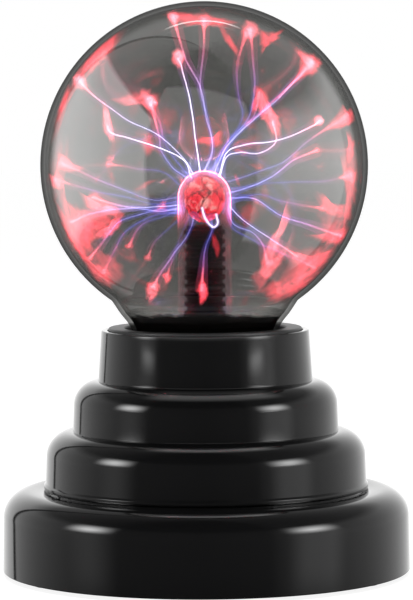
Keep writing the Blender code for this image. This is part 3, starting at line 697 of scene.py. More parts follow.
def make_wool(look):
    """A crumpled wad that fills the dome."""
    shape = bmesh.new()
    bmesh.ops.create_icosphere(shape, subdivisions=6, radius=WOOL_RADIUS)
    drop = DOME_CENTRE.z - WOOL_RADIUS + 0.4 - WOOL_BOTTOM
    for vertex in shape.verts:
        way = vertex.co.normalized()
        crumple = noise.fractal(way * 2.6, 0.7, 2.2, 4) * 0.42
        crease = abs(noise.noise(way * 4.3 + Vector((5.0, 1.0, 2.0)))) * 0.55
        vertex.co = way * min(WOOL_RADIUS, WOOL_RADIUS - 0.35 + crumple - crease)
        if vertex.co.z < 0.0:
            share = -vertex.co.z / WOOL_RADIUS
            vertex.co.z -= drop * share
    bmesh.ops.translate(shape, vec=DOME_CENTRE, verts=shape.verts)
    wool = as_object("wool", shape, look["electrode_wool"], sharp=180.0)
    return place_piece(wool, LAMP, "electrode_wool", "electrode_wool")


def make_sleeve(look):
    """A corrugated tube whose ribs have rounded lips and small teeth round their rims."""
    outline = [(SLEEVE_BORE, SLEEVE_BOTTOM)]
    count = int((SLEEVE_TOP - SLEEVE_BOTTOM) / RIB_PITCH)
    root = SLEEVE_RADIUS - RIB_DEPTH
    for index in range(count):
        foot = SLEEVE_BOTTOM + index * RIB_PITCH
        outline += [(SLEEVE_RADIUS - 0.12, foot), (SLEEVE_RADIUS, foot + 0.15)]
        outline += [(SLEEVE_RADIUS, foot + RIB_PITCH * 0.45), (SLEEVE_RADIUS - 0.15, foot + RIB_PITCH * 0.52)]
        outline += [(root, foot + RIB_PITCH * 0.58), (root, foot + RIB_PITCH * 0.97)]
    outline.append((SLEEVE_BORE, SLEEVE_BOTTOM + count * RIB_PITCH))
    shape = turned_shape(outline, 72)
    for vertex in shape.verts:
        radius = math.hypot(vertex.co.x, vertex.co.y)
        if radius > SLEEVE_RADIUS - 0.2:
            turn = math.atan2(vertex.co.y, vertex.co.x)
            tooth = 0.06 * math.copysign(1.0, math.sin(18 * turn))
            vertex.co.x *= 1.0 + (tooth - 0.06) / radius
            vertex.co.y *= 1.0 + (tooth - 0.06) / radius
    sleeve = as_object("sleeve", shape, look["sleeve_black"])
    return place_piece(sleeve, LAMP, "sleeve_black", "ribbed_sleeve")


def make_sheaths():
    """Two thin skins of glowing gas over the stem, which nothing mirrors."""
    nothing = mirror_group("skin_mirrors", [])
    skins = (
        ("dome_rim", 0.10, sheath("dome_rim", (1.0, 0.66, 0.80), 7.0, 12.0, 86.0, 91.0)),
        ("dome_aura", 0.30, sheath("dome_aura", (1.0, 0.10, 0.18), 2.1, 1.6, 84.0, 90.0, 0.025)),
    )
    for name, off, finish in skins:
        radius = STEM_RADIUS + off
        inside = radius - 0.04
        outline = [(0.0, DOME_CENTRE.z + radius), *arc(0.0, DOME_CENTRE.z, radius, 90, 0, 20)[1:]]
        outline += [(radius, SKIN_BOTTOM), (inside, SKIN_BOTTOM)]
        outline += [*arc(0.0, DOME_CENTRE.z, inside, 0, 90, 20)[:-1], (0.0, DOME_CENTRE.z + inside)]
        skin = turned(name, outline, finish, 96, sharp=80.0)
        skin.light_linking.receiver_collection = nothing
        place_piece(skin, LAMP, "clear_glass")


# Base


def make_ring(look):
    """The ring that covers the gap round the neck, with softened edges."""
    outline = [(RING_BORE, RING_BOTTOM), (RING_RADIUS, RING_BOTTOM)]
    outline += arc(RING_RADIUS - 0.4, RING_TOP - 0.4, 0.4, 0, 90, 5)
    outline += arc(RING_BORE + 0.6, RING_TOP - 0.6, 0.6, 90, 180, 5)
    ring = turned("retaining_ring_fine", outline, look["matte_black"])
    return place_piece(ring, LAMP, "gloss_black", "retaining_ring")


def make_upper_housing(look):
    """The collar and the two upper steps, which are one moulding."""
    shoulder_3 = STEP_3_TOP - STEP_3_ROUND
    shoulder_2 = STEP_2_TOP - STEP_2_ROUND
    middle_3 = STEP_3_RADIUS - DRAFT - STEP_3_ROUND
    middle_2 = STEP_2_RADIUS - DRAFT - STEP_2_ROUND
    lip = STEP_3_RADIUS + 0.4
    outside = [
        (SPIGOT_RADIUS, SPIGOT_BOTTOM),
        (SPIGOT_RADIUS, STEP_4_TOP + 0.3),
        (lip - 0.15, STEP_4_TOP + 0.3),
        *arc(lip - 0.2, STEP_4_TOP + 0.5, 0.2, -60, 0, 3),
        *arc(lip - 0.25, STEP_4_TOP + 1.2, 0.25, 0, 60, 4),
        (STEP_3_RADIUS, STEP_4_TOP + 1.8),
        *arc(middle_3, shoulder_3, STEP_3_ROUND, 0, 90),
        *arc(STEP_2_RADIUS + 0.12, STEP_3_TOP + 0.12, 0.12, 270, 180, 3),
        *arc(middle_2, shoulder_2, STEP_2_ROUND, 0, 90),
        *arc(COLLAR_FOOT + 0.12, STEP_2_TOP + 0.12, 0.12, 270, 180, 3),
        (COLLAR_FOOT - 0.035, STEP_2_TOP + 0.6),
        (COLLAR_RIM + 0.06, COLLAR_TOP - 1.2),
        *arc(COLLAR_RIM - 0.35, COLLAR_TOP - 0.35, 0.35, 4, 90, 5),
    ]
    inside = [
        *arc(SEAT_RADIUS + 0.2, COLLAR_TOP - 0.2, 0.2, 90, 180, 3),
        (SEAT_RADIUS, SEAT_HEIGHT),
        (COLLAR_BORE, SEAT_HEIGHT),
        (COLLAR_BORE, SHELF_TOP),
        (SHELF_HOLE, SHELF_TOP),
        (SHELF_HOLE, SHELF_BOTTOM),
        (SEAT_RADIUS, SHELF_BOTTOM),
        *arc(middle_2, shoulder_2, STEP_2_ROUND - WALL, 90, 0, 8),
        (STEP_2_RADIUS - WALL, STEP_3_TOP - WALL),
        *arc(middle_3, shoulder_3, STEP_3_ROUND - WALL, 90, 0, 8),
        (STEP_3_RADIUS - WALL, STEP_4_TOP + 1.7),
        (SPIGOT_RADIUS - 2.0, STEP_4_TOP + 0.2),
        (SPIGOT_RADIUS - 2.0, SPIGOT_BOTTOM),
    ]
    shell = turned("upper_housing_fine", outside + inside, look["gloss_black"])
    post = [(0.0, PILOT_TOP), (PILOT_RADIUS, PILOT_TOP), (PILOT_RADIUS, POST_BOTTOM)]
    post += [(POST_RADIUS, POST_BOTTOM), (POST_RADIUS, POST_TOP), (0.0, POST_TOP)]
    posts = []
    for number, at in enumerate(round_axis(SCREW_CIRCLE, SCREW_ANGLES)):
        posts.append(turned(f"post_{number}", post, look["gloss_black"], 24, at))
    combined(shell, posts)
    return place_piece(shell, LAMP, "gloss_black", "upper_housing")


def slot_cutter(name, look, grow, near, far):
    """A rounded slot for the switch's knob, cut through the wall where the switch is."""
    low = (-SLOT_LENGTH / 2 - grow, near, SWITCH_HEIGHT - SLOT_HEIGHT / 2 - grow)
    high = (SLOT_LENGTH / 2 + grow, far, SWITCH_HEIGHT + SLOT_HEIGHT / 2 + grow)
    return turn_about_axis(block(name, low, high, look["gloss_black"], 0.25), SWITCH_TURN)


def make_lower_housing(look):
    """The widest step, with its holes for the switch and the socket at the back."""
    shoulder = STEP_4_TOP - STEP_4_ROUND
    middle = BASE_RADIUS - DRAFT - STEP_4_ROUND
    hole = SPIGOT_RADIUS + 0.3
    outline = [
        *arc(BASE_RADIUS - 0.3, BASE_BOTTOM + 0.3, 0.3, -90, 0, 4),
        *arc(middle, shoulder, STEP_4_ROUND, 0, 90, 18),
        *arc(hole + 0.1, STEP_4_TOP - 0.1, 0.1, 90, 180, 2),
        (hole, STEP_4_TOP - WALL),
        *arc(middle, shoulder, STEP_4_ROUND - WALL, 90, 0, 8),
        (BASE_RADIUS - WALL - 0.1, 4.4),
        (46.5, 3.8),
        (46.5, 2.8),
        (BASE_RADIUS - WALL - 0.1, 2.8),
        (BASE_RADIUS - WALL - 0.1, BASE_BOTTOM),
    ]
    shell = turned("lower_housing_fine", outline, look["gloss_black"])
    at = (0.0, 0.0, SOCKET_HEIGHT)
    bore = SOCKET_BARREL + 0.3
    socket = [(0.0, 44.0), (bore, 44.0), (bore, 49.6), (bore + 1.2, 50.8), (0.0, 50.8)]
    cuts = [
        turned("socket_cut", socket, look["gloss_black"], 64, at, "Y"),
        slot_cutter("slot_cut", look, 0.0, 45.0, 53.0),
        slot_cutter("slot_recess", look, 1.0, 49.35, 53.0),
    ]
    combined(shell, cuts=cuts)
    return place_piece(shell, LAMP, "gloss_black", "lower_housing")


def bay_box(name, look, margin, bottom, top, bevel=0.0):
    length, width = BAY_HALF_LENGTH + margin, BAY_HALF_WIDTH + margin
    low = (-length, BAY_MIDDLE_Y - width, bottom)
    high = (length, BAY_MIDDLE_Y + width, top)
    return block(name, low, high, look["matte_black"], bevel)


def make_bottom_cover(look):
    """The cover under the base: a battery bay, four screw wells, four foot pockets and a raised ring."""
    matte = look["matte_black"]
    rim = [(0.0, COVER_BOTTOM), (43.9, COVER_BOTTOM), (44.1, COVER_BOTTOM + 0.3), (44.7, COVER_BOTTOM + 0.3)]
    rim += [(44.9, COVER_BOTTOM), (COVER_RADIUS - 0.3, COVER_BOTTOM), (COVER_RADIUS, COVER_BOTTOM + 0.3)]
    rim += [(COVER_RADIUS, COVER_TOP), (0.0, COVER_TOP)]
    cover = turned("bottom_cover_fine", rim, matte)
    additions = [bay_box("bay_outside", look, BAY_WALL, 1.2, BAY_TOP)]
    cuts = [bay_box("bay_inside", look, 0.0, -1.0, BAY_CEILING)]
    scoop = [(0.0, -1.0), (4.3, -1.0), (4.3, 0.6), (3.2, 1.5), (0.0, 1.9)]
    cuts.append(turned("scoop", scoop, matte, 48, (26.5, LATCH_Y, 0.0)))
    for number, offset in enumerate(HOOK_OFFSETS):
        middle, half = BAY_MIDDLE_Y + offset, HOOK_WIDTH / 2 + 0.3
        low, high = (-28.0, middle - half, 2.4), (-25.5, middle + half, 4.3)
        cuts.append(block(f"hook_slot_{number}", low, high, matte))
    well = [(0.0, -1.0), (WELL_RADIUS + 0.4, -1.0), (WELL_RADIUS + 0.4, 0.7), (WELL_RADIUS, 1.1)]
    well += [(WELL_RADIUS, WELL_TOP), (PILOT_RADIUS, WELL_TOP), (PILOT_RADIUS, 7.0), (0.0, 7.0)]
    for number, at in enumerate(round_axis(SCREW_CIRCLE, SCREW_ANGLES)):
        collar = [(0.0, 2.0), (WELL_RADIUS + 1.3, 2.0), (WELL_RADIUS + 1.3, 5.5), (0.0, 5.5)]
        additions.append(turned(f"well_wall_{number}", collar, matte, 32, at))
        cuts.append(turned(f"screw_well_{number}", well, matte, 32, at))
    pocket = [(0.0, -1.0), (FOOT_RADIUS + 0.3, -1.0), (FOOT_RADIUS + 0.3, 1.5), (0.0, 1.5)]
    for number, at in enumerate(round_axis(FOOT_CIRCLE, FOOT_ANGLES)):
        cuts.append(turned(f"foot_pocket_{number}", pocket, matte, 48, at))
    combined(cover, additions, cuts)
    return place_piece(cover, LAMP, "matte_black", "bottom_cover")


def make_battery_door(look):
    """The door under the cells, with finger ridges beside its latch."""
    matte = look["matte_black"]
    door = bay_box("battery_door_fine", look, -DOOR_GAP, COVER_BOTTOM, DOOR_TOP, 0.25)
    hook = [(-24.0, 2.0), (-24.0, 3.3), (-27.0, 3.3), (-27.0, 2.8), (-25.5, 2.8), (-25.5, 2.0)]
    latch = [(23.2, 2.0), (23.2, 4.4), (24.4, 4.4), (25.4, 3.9), (25.4, 3.4), (24.6, 3.0), (24.6, 2.0)]
    clips = [extruded("latch", latch, LATCH_Y - 4.0, LATCH_Y + 4.0, matte)]
    for number, offset in enumerate(HOOK_OFFSETS):
        middle, half = BAY_MIDDLE_Y + offset, HOOK_WIDTH / 2
        clips.append(extruded(f"hook_{number}", hook, middle - half, middle + half, matte))
    grooves = []
    for number in range(6):
        x = 14.0 + 1.6 * number
        low, high = (x, LATCH_Y - 6.0, 0.0), (x + 0.7, LATCH_Y + 6.0, COVER_BOTTOM + 0.35)
        grooves.append(block(f"groove_{number}", low, high, matte, 0.15))
    combined(door, clips, grooves)
    return place_piece(door, DOOR, "matte_black", "battery_door")


def make_feet(look):
    """Rubber pads with a soft edge and a shallow ring."""
    foot = [(0.0, 0.1), (2.2, 0.1), (2.4, 0.0), *arc(FOOT_RADIUS - 0.35, 0.35, 0.35, -90, 0, 5)]
    foot += [(FOOT_RADIUS, FOOT_HEIGHT), (0.0, FOOT_HEIGHT)]
    for number, at in enumerate(round_axis(FOOT_CIRCLE, FOOT_ANGLES), 1):
        pad = turned(f"foot_pad_{number}", foot, look["rubber"], 64, at)
        place_piece(pad, LAMP, "rubber", f"foot_{number}")


def make_housing_screws(look):
    """Pan-head screws with a cross recess."""
    head = WELL_RADIUS - 0.4
    outline = [(0.0, 1.5), (1.2, 1.52), (2.0, 1.66), (2.5, 1.95), (head, 2.4), (head, 3.2), (1.25, 3.2)]
    thread = []
    for turn in range(11):
        foot = 3.7 + 0.85 * turn
        thread += [(1.0, foot), (1.25, foot + 0.4)]
    outline += [*thread, (0.3, 14.2), (0.0, 14.2)]
    for number, at in enumerate(round_axis(SCREW_CIRCLE, SCREW_ANGLES), 1):
        screw = turned(f"cover_screw_{number}", outline, look["steel"], 40, at)
        cuts = []
        for way, turn in enumerate((20.0, 110.0)):
            arm = block(f"recess_{way}", (-1.3, -0.28, 0.0), (1.3, 0.28, 2.6), look["steel"])
            turn_about_axis(arm, turn)
            arm.data.transform(Matrix.Translation(at * MM))
            cuts.append(arm)
        combined(screw, cuts=cuts)
        place_piece(screw, LAMP, "steel", f"housing_screw_{number}")


def row_y(index):
    return BAY_MIDDLE_Y + (index - 1.5) * CELL_PITCH


def nub_side(index):
    return 1 if index % 2 == 0 else -1


def make_cells(look):
    """AAA cells that point opposite ways in turn. The attribute along is the share of the cell's length."""
    body = CELL_LENGTH - 1.0
    outline = [(0.0, 0.15), (3.4, 0.15), (3.6, 0.0), *arc(CELL_RADIUS - 0.5, 0.5, 0.5, -90, 0, 5)]
    outline += [(CELL_RADIUS, body * share) for share in (0.25, 0.5, 0.75)]
    outline += [*arc(CELL_RADIUS - 0.5, body - 0.5, 0.5, 0, 90, 5), (3.0, body)]
    outline += [(2.8, body - 0.2), (2.0, body - 0.2)]
    outline += [*arc(1.6, CELL_LENGTH - 0.3, 0.3, 0, 90, 4), (0.0, CELL_LENGTH)]
    for index in range(4):
        shape = turned_shape(outline, 48)
        layer = shape.verts.layers.float.new("along")
        for vertex in shape.verts:
            vertex[layer] = vertex.co.z / CELL_LENGTH
        turn_to(shape, "X")
        side = nub_side(index)
        if side < 0:
            bmesh.ops.rotate(shape, verts=shape.verts, matrix=Matrix.Rotation(math.pi, 3, "Z"))
        place = Vector((side * (CELL_REACH - CELL_LENGTH), row_y(index), CELL_HEIGHT))
        bmesh.ops.translate(shape, vec=place, verts=shape.verts)
        cell = as_object(f"cell_{index + 1}", shape, look["cell_wrap"])
        place_piece(cell, LAMP, "cell_wrap", f"battery_cell_{index + 1}")


def make_springs(look):
    """Conical springs on the cells' flat ends."""
    turns, per_turn, wire_radius = 4, 24, 0.32
    for index in range(4):
        side = nub_side(index)
        near = CELL_LENGTH - CELL_REACH + 0.3 + wire_radius
        far = PLATE_FACE - 0.3 - wire_radius
        route = []
        for step in range(turns * per_turn + 1):
            share = step / (turns * per_turn)
            size, turn = 2.0 + 1.6 * share, math.tau * turns * share
            x = -side * (near + (far - near) * share)
            y, z = row_y(index) + size * math.cos(turn), CELL_HEIGHT + size * math.sin(turn)
            route.append(Vector((x, y, z)))
        shape = bmesh.new()
        add_tube(shape, route, [wire_radius] * len(route), 10)
        spring = as_object(f"cell_spring_{index + 1}", shape, look["steel"], sharp=180.0)
        place_piece(spring, LAMP, "steel", f"battery_spring_{index + 1}")


# Switch and socket


def make_knob(look):
    """The switch's knob, with ridges across its end."""
    low = (KNOB_REST - KNOB_LENGTH / 2, KNOB_ROOT, SWITCH_HEIGHT - KNOB_HEIGHT / 2)
    high = (KNOB_REST + KNOB_LENGTH / 2, KNOB_TIP, SWITCH_HEIGHT + KNOB_HEIGHT / 2)
    knob = block("switch_knob_fine", low, high, look["matte_black"], 0.25)
    grooves = []
    for number in range(4):
        x = KNOB_REST - 1.2 + 0.8 * number
        start, end = (x - 0.2, KNOB_TIP - 0.4, 0.0), (x + 0.2, KNOB_TIP + 2.0, 20.0)
        grooves.append(block(f"knob_groove_{number}", start, end, look["matte_black"]))
    combined(knob, cuts=grooves)
    turn_about_axis(knob, SWITCH_TURN)
    return place_piece(knob, KNOB, "matte_black", "switch_knob")


def make_socket(look):
    """A barrel socket: a moulded nose with a chamfered mouth, a sprung metal lining and a centre pin."""
    matte = look["matte_black"]
    at = (0.0, 0.0, SOCKET_HEIGHT)
    low, high = (-4.5, SOCKET_BACK, SOCKET_HEIGHT - 4.7), (4.5, 46.8, SOCKET_HEIGHT + 4.7)
    body = block("socket_fine", low, high, matte, 0.3)
    nose = [(0.0, 45.8), (SOCKET_BARREL, 45.8)]
    nose += [*arc(SOCKET_BARREL - 0.25, SOCKET_MOUTH - 0.25, 0.25, 0, 90, 4), (0.0, SOCKET_MOUTH)]
    bore = [(0.0, 40.0), (SOCKET_BORE, 40.0), (SOCKET_BORE, SOCKET_MOUTH - 0.35)]
    bore += [(SOCKET_BORE + 0.35, SOCKET_MOUTH), (SOCKET_BORE + 0.35, 52.0), (0.0, 52.0)]
    additions = [turned("socket_nose", nose, matte, 64, at, "Y")]
    cuts = [turned("socket_bore", bore, matte, 64, at, "Y")]
    combined(body, additions, cuts)
    place_piece(body, LAMP, "matte_black", "socket_body")
    pin = [(0.0, 40.3), (1.0, 40.3), (1.0, 45.5), *arc(0.4, 45.5, 0.6, 0, 90, 5), (0.0, 46.1)]
    centre = turned("socket_pin_fine", pin, look["steel"], 40, at, "Y")
    place_piece(centre, LAMP, "steel", "socket_pin")
    lining = [(SOCKET_BORE - 0.05, 40.6), (SOCKET_BORE - 0.05, 47.9), (SOCKET_BORE - 0.25, 48.1)]
    lining += [(SOCKET_BORE - 0.30, 47.9), (SOCKET_BORE - 0.30, 40.6)]
    place_piece(turned("socket_lining", lining, look["steel"], 64, at, "Y"), LAMP, "steel")


# Discharge


def add_tube(shape, route, radii, sides, colours=None, side=None, narrow=1.0):
    """Adds a closed tube, turning its ring as little as it can from point to point. Colours set its glow
    attribute. Across the side direction the rings are narrow times as wide as along it."""
    layer = glow_layer(shape) if colours else None
    forward = (route[1] - route[0]).normalized()
    side = (side or forward.orthogonal()).normalized()
    rings = []
    for index, centre in enumerate(route):
        before, after = route[max(index - 1, 0)], route[min(index + 1, len(route) - 1)]
        forward = (after - before).normalized()
        side = (side - forward * side.dot(forward)).normalized()
        across = forward.cross(side) * narrow
        ring = []
        for step in range(sides):
            turn = math.tau * step / sides
            offset = side * math.cos(turn) + across * math.sin(turn)
            ring.append(shape.verts.new(centre + offset * radii[index]))
            if colours:
                ring[-1][layer] = (*colours[index], 1.0)
        rings.append(ring)
    for first, second in zip(rings, rings[1:]):
        for step in range(sides):
            after = (step + 1) % sides
            shape.faces.new((first[step], first[after], second[after], second[step]))
    shape.faces.new(rings[0][::-1])
    shape.faces.new(rings[-1])


def glow_layer(shape):
    layers = shape.verts.layers.float_color
    return layers.get("glow") or layers.new("glow")


def blend_stops(stops, share):
    """The colour at share along a list of (position, colour) stops."""
    for (start, first), (end, second) in zip(stops, stops[1:]):
        if share <= end:
            mix = (share - start) / (end - start)
            return Vector(first).lerp(Vector(second), max(mix, 0.0))
    return Vector(stops[-1][1])


def smooth_share(inset, width):
    share = min(inset / width, 1.0)
    return share * share * (3.0 - 2.0 * share)


NEAR, FAR = False, True


class Thread(NamedTuple):
    """One thread of the discharge. Its corners run from the dome to the near or the far wall, and are
    (right, up) of the globe's centre as seen from the front. White is its core's brightness and power its
    colour's. Over the share reach of its length it opens to a trumpet with the radius flare, flattened by
    narrow and turned by tilt."""

    corners: tuple
    far: bool = NEAR
    white: float = 0.0
    power: float = 0.6
    flare: float = 1.2
    narrow: float = 0.8
    tilt: float = 0.0
    reach: float = 0.14


# Each has its corners, its wall, white, power and flare, and where it differs from the usual thread
THREADS = (
    # Up to the top
    Thread(((0, -1.4), (1.9, 4), (0.6, 12), (-0.9, 19.1), (-4.6, 26.7), (-7.4, 36.6)), FAR, 0.35, 0.8, 1.6),
    Thread(((0.2, -1.4), (2.1, 4), (0.8, 12), (-0.8, 19.1), (0, 27), (0.2, 35.8)), FAR, 0.2, 0.6, 1.6),
    Thread(((-1, -1.6), (-2.5, 10), (-4.8, 22.5), (-6.2, 26.2)),
        NEAR, 1.3, 0.7, 1.7, narrow=0.95, reach=0.12),
    Thread(((1.6, -1.8), (5.7, 4.7), (11, 12), (12.4, 19), (12.1, 25.8), (11.4, 33.2)),
        NEAR, 0.1, 0.6, 2.2),
    Thread(((1.3, -1.7), (5.2, 4.9), (9.6, 12), (8.2, 18), (8.2, 24), (10.4, 32.4)), NEAR, 0, 0.5, 1.4),
    Thread(((2.4, -2), (5.9, 5), (15.5, 14), (22.6, 20.6), (25.8, 24.4)),
        NEAR, 0.45, 0.75, 2.8, narrow=0.6, tilt=-40, reach=0.42),
    Thread(((2.2, -1.9), (5.4, 5.4), (14.2, 13.4), (22, 20.4), (24.8, 23.6)), NEAR, 0, 0.5, 1.2, reach=0.6),
    Thread(((2, -1.6), (7, 6), (12, 12), (13.6, 17.6)),
        FAR, 0.1, 0.5, 2.4, narrow=0.6, tilt=70, reach=0.24),
    # To the right
    Thread(((3.8, -2.8), (5.4, 1.9), (8.2, 3), (13.5, 2.9), (17.6, 5.8), (16.8, 10.6)),
        NEAR, 1, 0.8, 1.5, narrow=0.6, tilt=80),
    Thread(((3.6, -2.6), (5.6, 3.2), (10.3, 4.9), (18.7, 6.3), (26.4, 9.4), (28.2, 10.8)),
        NEAR, 1.1, 0.7, 1.4, narrow=0.95, reach=0.3),
    Thread(((5, -4.2), (12.2, -2), (19.3, 0.7), (26.5, 6.5), (35.2, 12.2)),
        NEAR, 0.1, 0.5, 3.4, narrow=0.5, tilt=60, reach=0.26),
    Thread(((5.6, -6), (16, -4.4), (29.4, -3.9), (35.9, -2.6)),
        FAR, 0, 0.35, 2.6, narrow=0.5, tilt=80, reach=0.18),
    Thread(((5.8, -6.8), (10.6, -5.4), (16.4, -3), (22, 1.2), (27.6, 3.6)), FAR, 0.3, 1.1, 1),
    Thread(((6, -8), (12.1, -8.2), (18.7, -12.2), (26.5, -15), (33.4, -17.4)),
        NEAR, 0.25, 1, 1.8, narrow=0.5),
    Thread(((6.1, -8.6), (13, -7.2), (20.4, -9.2), (29, -10.6)), FAR, 0, 0.5, 2, narrow=0.5),
    Thread(((6, -9.8), (8.6, -12.6), (13, -16), (18.4, -19.4), (22.6, -22.4)),
        NEAR, 0.55, 0.9, 1.6, narrow=0.6),
    Thread(((5.8, -10.4), (7, -14.2), (11.6, -16.4), (14.2, -19.6), (15.4, -24)),
        NEAR, 0.2, 0.9, 1.6, narrow=0.6),
    Thread(((5.6, -11.2), (6.6, -15.2), (12.6, -18.6), (20.2, -22), (27, -25.2)),
        FAR, 0, 0.5, 1.8, narrow=0.5),
    # Down past the stem
    Thread(((1.6, -13.2), (1.9, -15.6), (0.2, -20), (-0.4, -25), (-0.8, -30.6)),
        NEAR, 0.1, 0.7, 1.3, reach=0.26),
    Thread(((-2.6, -12.6), (-3.4, -15.6), (-6.5, -20.2), (-10.5, -25.8), (-12.6, -29.6)),
        NEAR, 0.15, 0.7, 1.9, narrow=0.9),
    Thread(((-4, -13), (-6.8, -19.4), (-9.3, -27)), FAR, 0, 0.35, 1.4),
    Thread(((-5, -12.2), (-8.4, -15), (-11.9, -18), (-14, -22.5)), FAR, 0, 0.25, 1.2),
    # To the left
    Thread(((-2.6, -2.2), (-5, 1.8), (-11, 7.4), (-20, 11.9), (-27.4, 17.8), (-30.4, 21.2)),
        NEAR, 0.75, 0.6, 2, reach=0.3),
    Thread(((-3.2, -2.8), (-5.1, 1.6), (-11, 4.6), (-22, 7.9), (-23.6, 9.8)),
        NEAR, 1.2, 0.7, 1.9, narrow=0.6, tilt=80, reach=0.1),
    Thread(((-4, -3.2), (-7.6, -0.4), (-10.2, 3.3), (-11.2, 8), (-12.9, 15.2)),
        FAR, 0.2, 0.9, 1.9, reach=0.2),
    Thread(((-3.4, -2.8), (-6.6, 0.8), (-9.2, 4.6), (-10.6, 10), (-13.6, 16.4)), FAR, 0, 0.6, 1.4),
    Thread(((-5.6, -5.2), (-9.4, -1.9), (-15.5, -0.7), (-23.4, 0.5)), FAR, 0, 0.4, 1.2),
    Thread(((-6, -7.6), (-12.1, -8.4), (-18.9, -6.2), (-27, -2.8), (-35.4, 1)),
        NEAR, 0.1, 0.6, 2.4, narrow=0.5, tilt=60),
    Thread(((-6, -8.8), (-12.6, -9.2), (-22.2, -7), (-30, -5.2), (-36.6, -3)),
        FAR, 0, 0.5, 2.6, narrow=0.5, tilt=80),
    Thread(((-6.1, -9.6), (-12, -10), (-19.4, -9.9), (-27.4, -7.6)),
        NEAR, 0.45, 1, 2.2, narrow=0.5, tilt=20, reach=0.2),
    Thread(((-6, -10.2), (-11, -11.2), (-18, -10.2), (-27, -11.4), (-32.6, -13.6)),
        NEAR, 0.25, 1, 2, narrow=0.5),
    Thread(((-5.8, -10.8), (-12.6, -11), (-20.6, -13.6), (-24.6, -18), (-28.2, -22.6)),
        NEAR, 0.1, 0.8, 1.6, narrow=0.5),
    Thread(((-5.6, -11.4), (-12.8, -12.2), (-19.4, -15.8), (-22.4, -21), (-24.8, -26.1)),
        FAR, 0, 0.5, 1.8, narrow=0.5),
    Thread(((-5.8, -11), (-10.6, -12.6), (-15.6, -14.8), (-18.6, -19.6)), FAR, 0, 0.4, 1.4, narrow=0.5),
)

THREAD_COLOURS = (
    (0.0, (0.42, 0.34, 1.0)),
    (0.12, (0.12, 0.12, 1.0)),
    (0.45, (0.16, 0.15, 0.95)),
    (0.68, (0.60, 0.18, 0.70)),
    (0.86, (1.0, 0.12, 0.24)),
    (1.0, (1.0, 0.08, 0.13)),
)
CORE_COLOURS = (
    (0.0, (1.0, 0.90, 1.0)),
    (0.55, (0.92, 0.88, 1.0)),
    (0.85, (1.0, 0.66, 0.76)),
    (1.0, (1.0, 0.42, 0.46)),
)
FUNNEL_RED = Vector((1.0, 0.045, 0.075))
FUNNEL_PALE = Vector((1.0, 0.30, 0.36))


def seen_at(corner, depth):
    """The point so deep along Y that the camera sees at a corner of the plane through the globe's centre."""
    shrink = 1.0 + depth / EYE_DISTANCE
    up = GLOBE_CENTRE.z + corner[1] - EYE_HEIGHT
    return Vector((corner[0] * shrink, depth, EYE_HEIGHT + up * shrink))


def on_wall(corner, far, reach=WALL_REACH):
    """The point of the wall, near or far, that the camera sees at a corner."""
    depth = 0.0
    for _ in range(4):
        place = seen_at(corner, depth) - GLOBE_CENTRE
        room = max(reach**2 - place.x**2 - place.z**2, 4.0)
        depth = math.sqrt(room) if far else -math.sqrt(room)
    return GLOBE_CENTRE + (seen_at(corner, depth) - GLOBE_CENTRE).normalized() * reach


def thread_route(thread, steps=12):
    """A curve from the stem's dome to the wall that passes the thread's corners and wavers slightly."""
    foot = on_wall(thread.corners[-1], thread.far)
    start = Vector((thread.corners[0][0], 0.0, thread.corners[0][1] + GLOBE_CENTRE.z))
    off = start - DOME_CENTRE
    off.z = max(off.z, 0.0)
    depth = math.sqrt(max(THREAD_START**2 - off.length_squared, 0.2))
    first = depth if thread.far else -depth
    line = smooth_line([(right, up, 0.0) for right, up in thread.corners], steps)
    route = []
    for index, corner in enumerate(line):
        share = index / (len(line) - 1)
        deep = first + (foot.y - first) * share**0.85
        point = seen_at(corner, deep)
        waver = noise.noise_vector(point * 0.16 + Vector((foot.x, 0.0, foot.z)))
        route.append(point + waver * 0.35 * math.sin(math.pi * share))
    route[-1] = foot
    return route


def add_thread(cores, halos, funnels, thread):
    route = thread_route(thread)
    last = len(route) - 1
    shares = [index / last for index in range(last + 1)]
    if thread.white:
        white = [blend_stops(CORE_COLOURS, s) * thread.white * (1.0 - 0.6 * s * s) for s in shares]
        add_tube(cores, route, [0.09 + 0.04 * thread.white] * len(route), 6, white)
    for radius, level in ((0.24, 0.80), (0.65 + 0.45 * thread.power, 0.26)):
        sizes = [radius * (1.7 - 1.1 * math.sin(math.pi * s**0.6)) for s in shares]
        light = [blend_stops(THREAD_COLOURS, s) * level * thread.power for s in shares]
        add_tube(halos, route, sizes, 8, light)
    add_funnel(funnels, thread, route)


def add_funnel(funnels, thread, route):
    """Nested trumpets over the thread's last stretch, pale inside and red outside."""
    first = round((1.0 - thread.reach) * (len(route) - 1))
    stretch = route[first:]
    outward = (route[-1] - GLOBE_CENTRE).normalized()
    level = Vector((0.0, 0.0, 1.0)).cross(outward).normalized()
    side = Matrix.Rotation(math.radians(thread.tilt), 3, outward) @ level
    strength = 0.45 + 0.75 * min(thread.power, 1.0)
    for size, pale, light in ((1.0, 0.0, 0.55), (0.80, 0.10, 0.50), (0.55, 0.4, 0.55), (0.28, 1.0, 0.8)):
        radii, colours = [], []
        for index in range(len(stretch)):
            share = index / (len(stretch) - 1)
            opening = share**2.2
            radii.append(0.2 + (thread.flare * size - 0.2) * opening)
            colours.append(FUNNEL_RED.lerp(FUNNEL_PALE, pale) * light * strength * (0.35 + 0.65 * share))
        add_tube(funnels, stretch, radii, 20, colours, side, thread.narrow)


class Patch(NamedTuple):
    """A patch of light on the near or the far wall. The corners of its outline are (right, up) of the globe's
    centre as seen from the front. Level is its brightness and pale how far it is from red."""

    outline: tuple
    far: bool = NEAR
    level: float = 1.0
    pale: float = 0.0


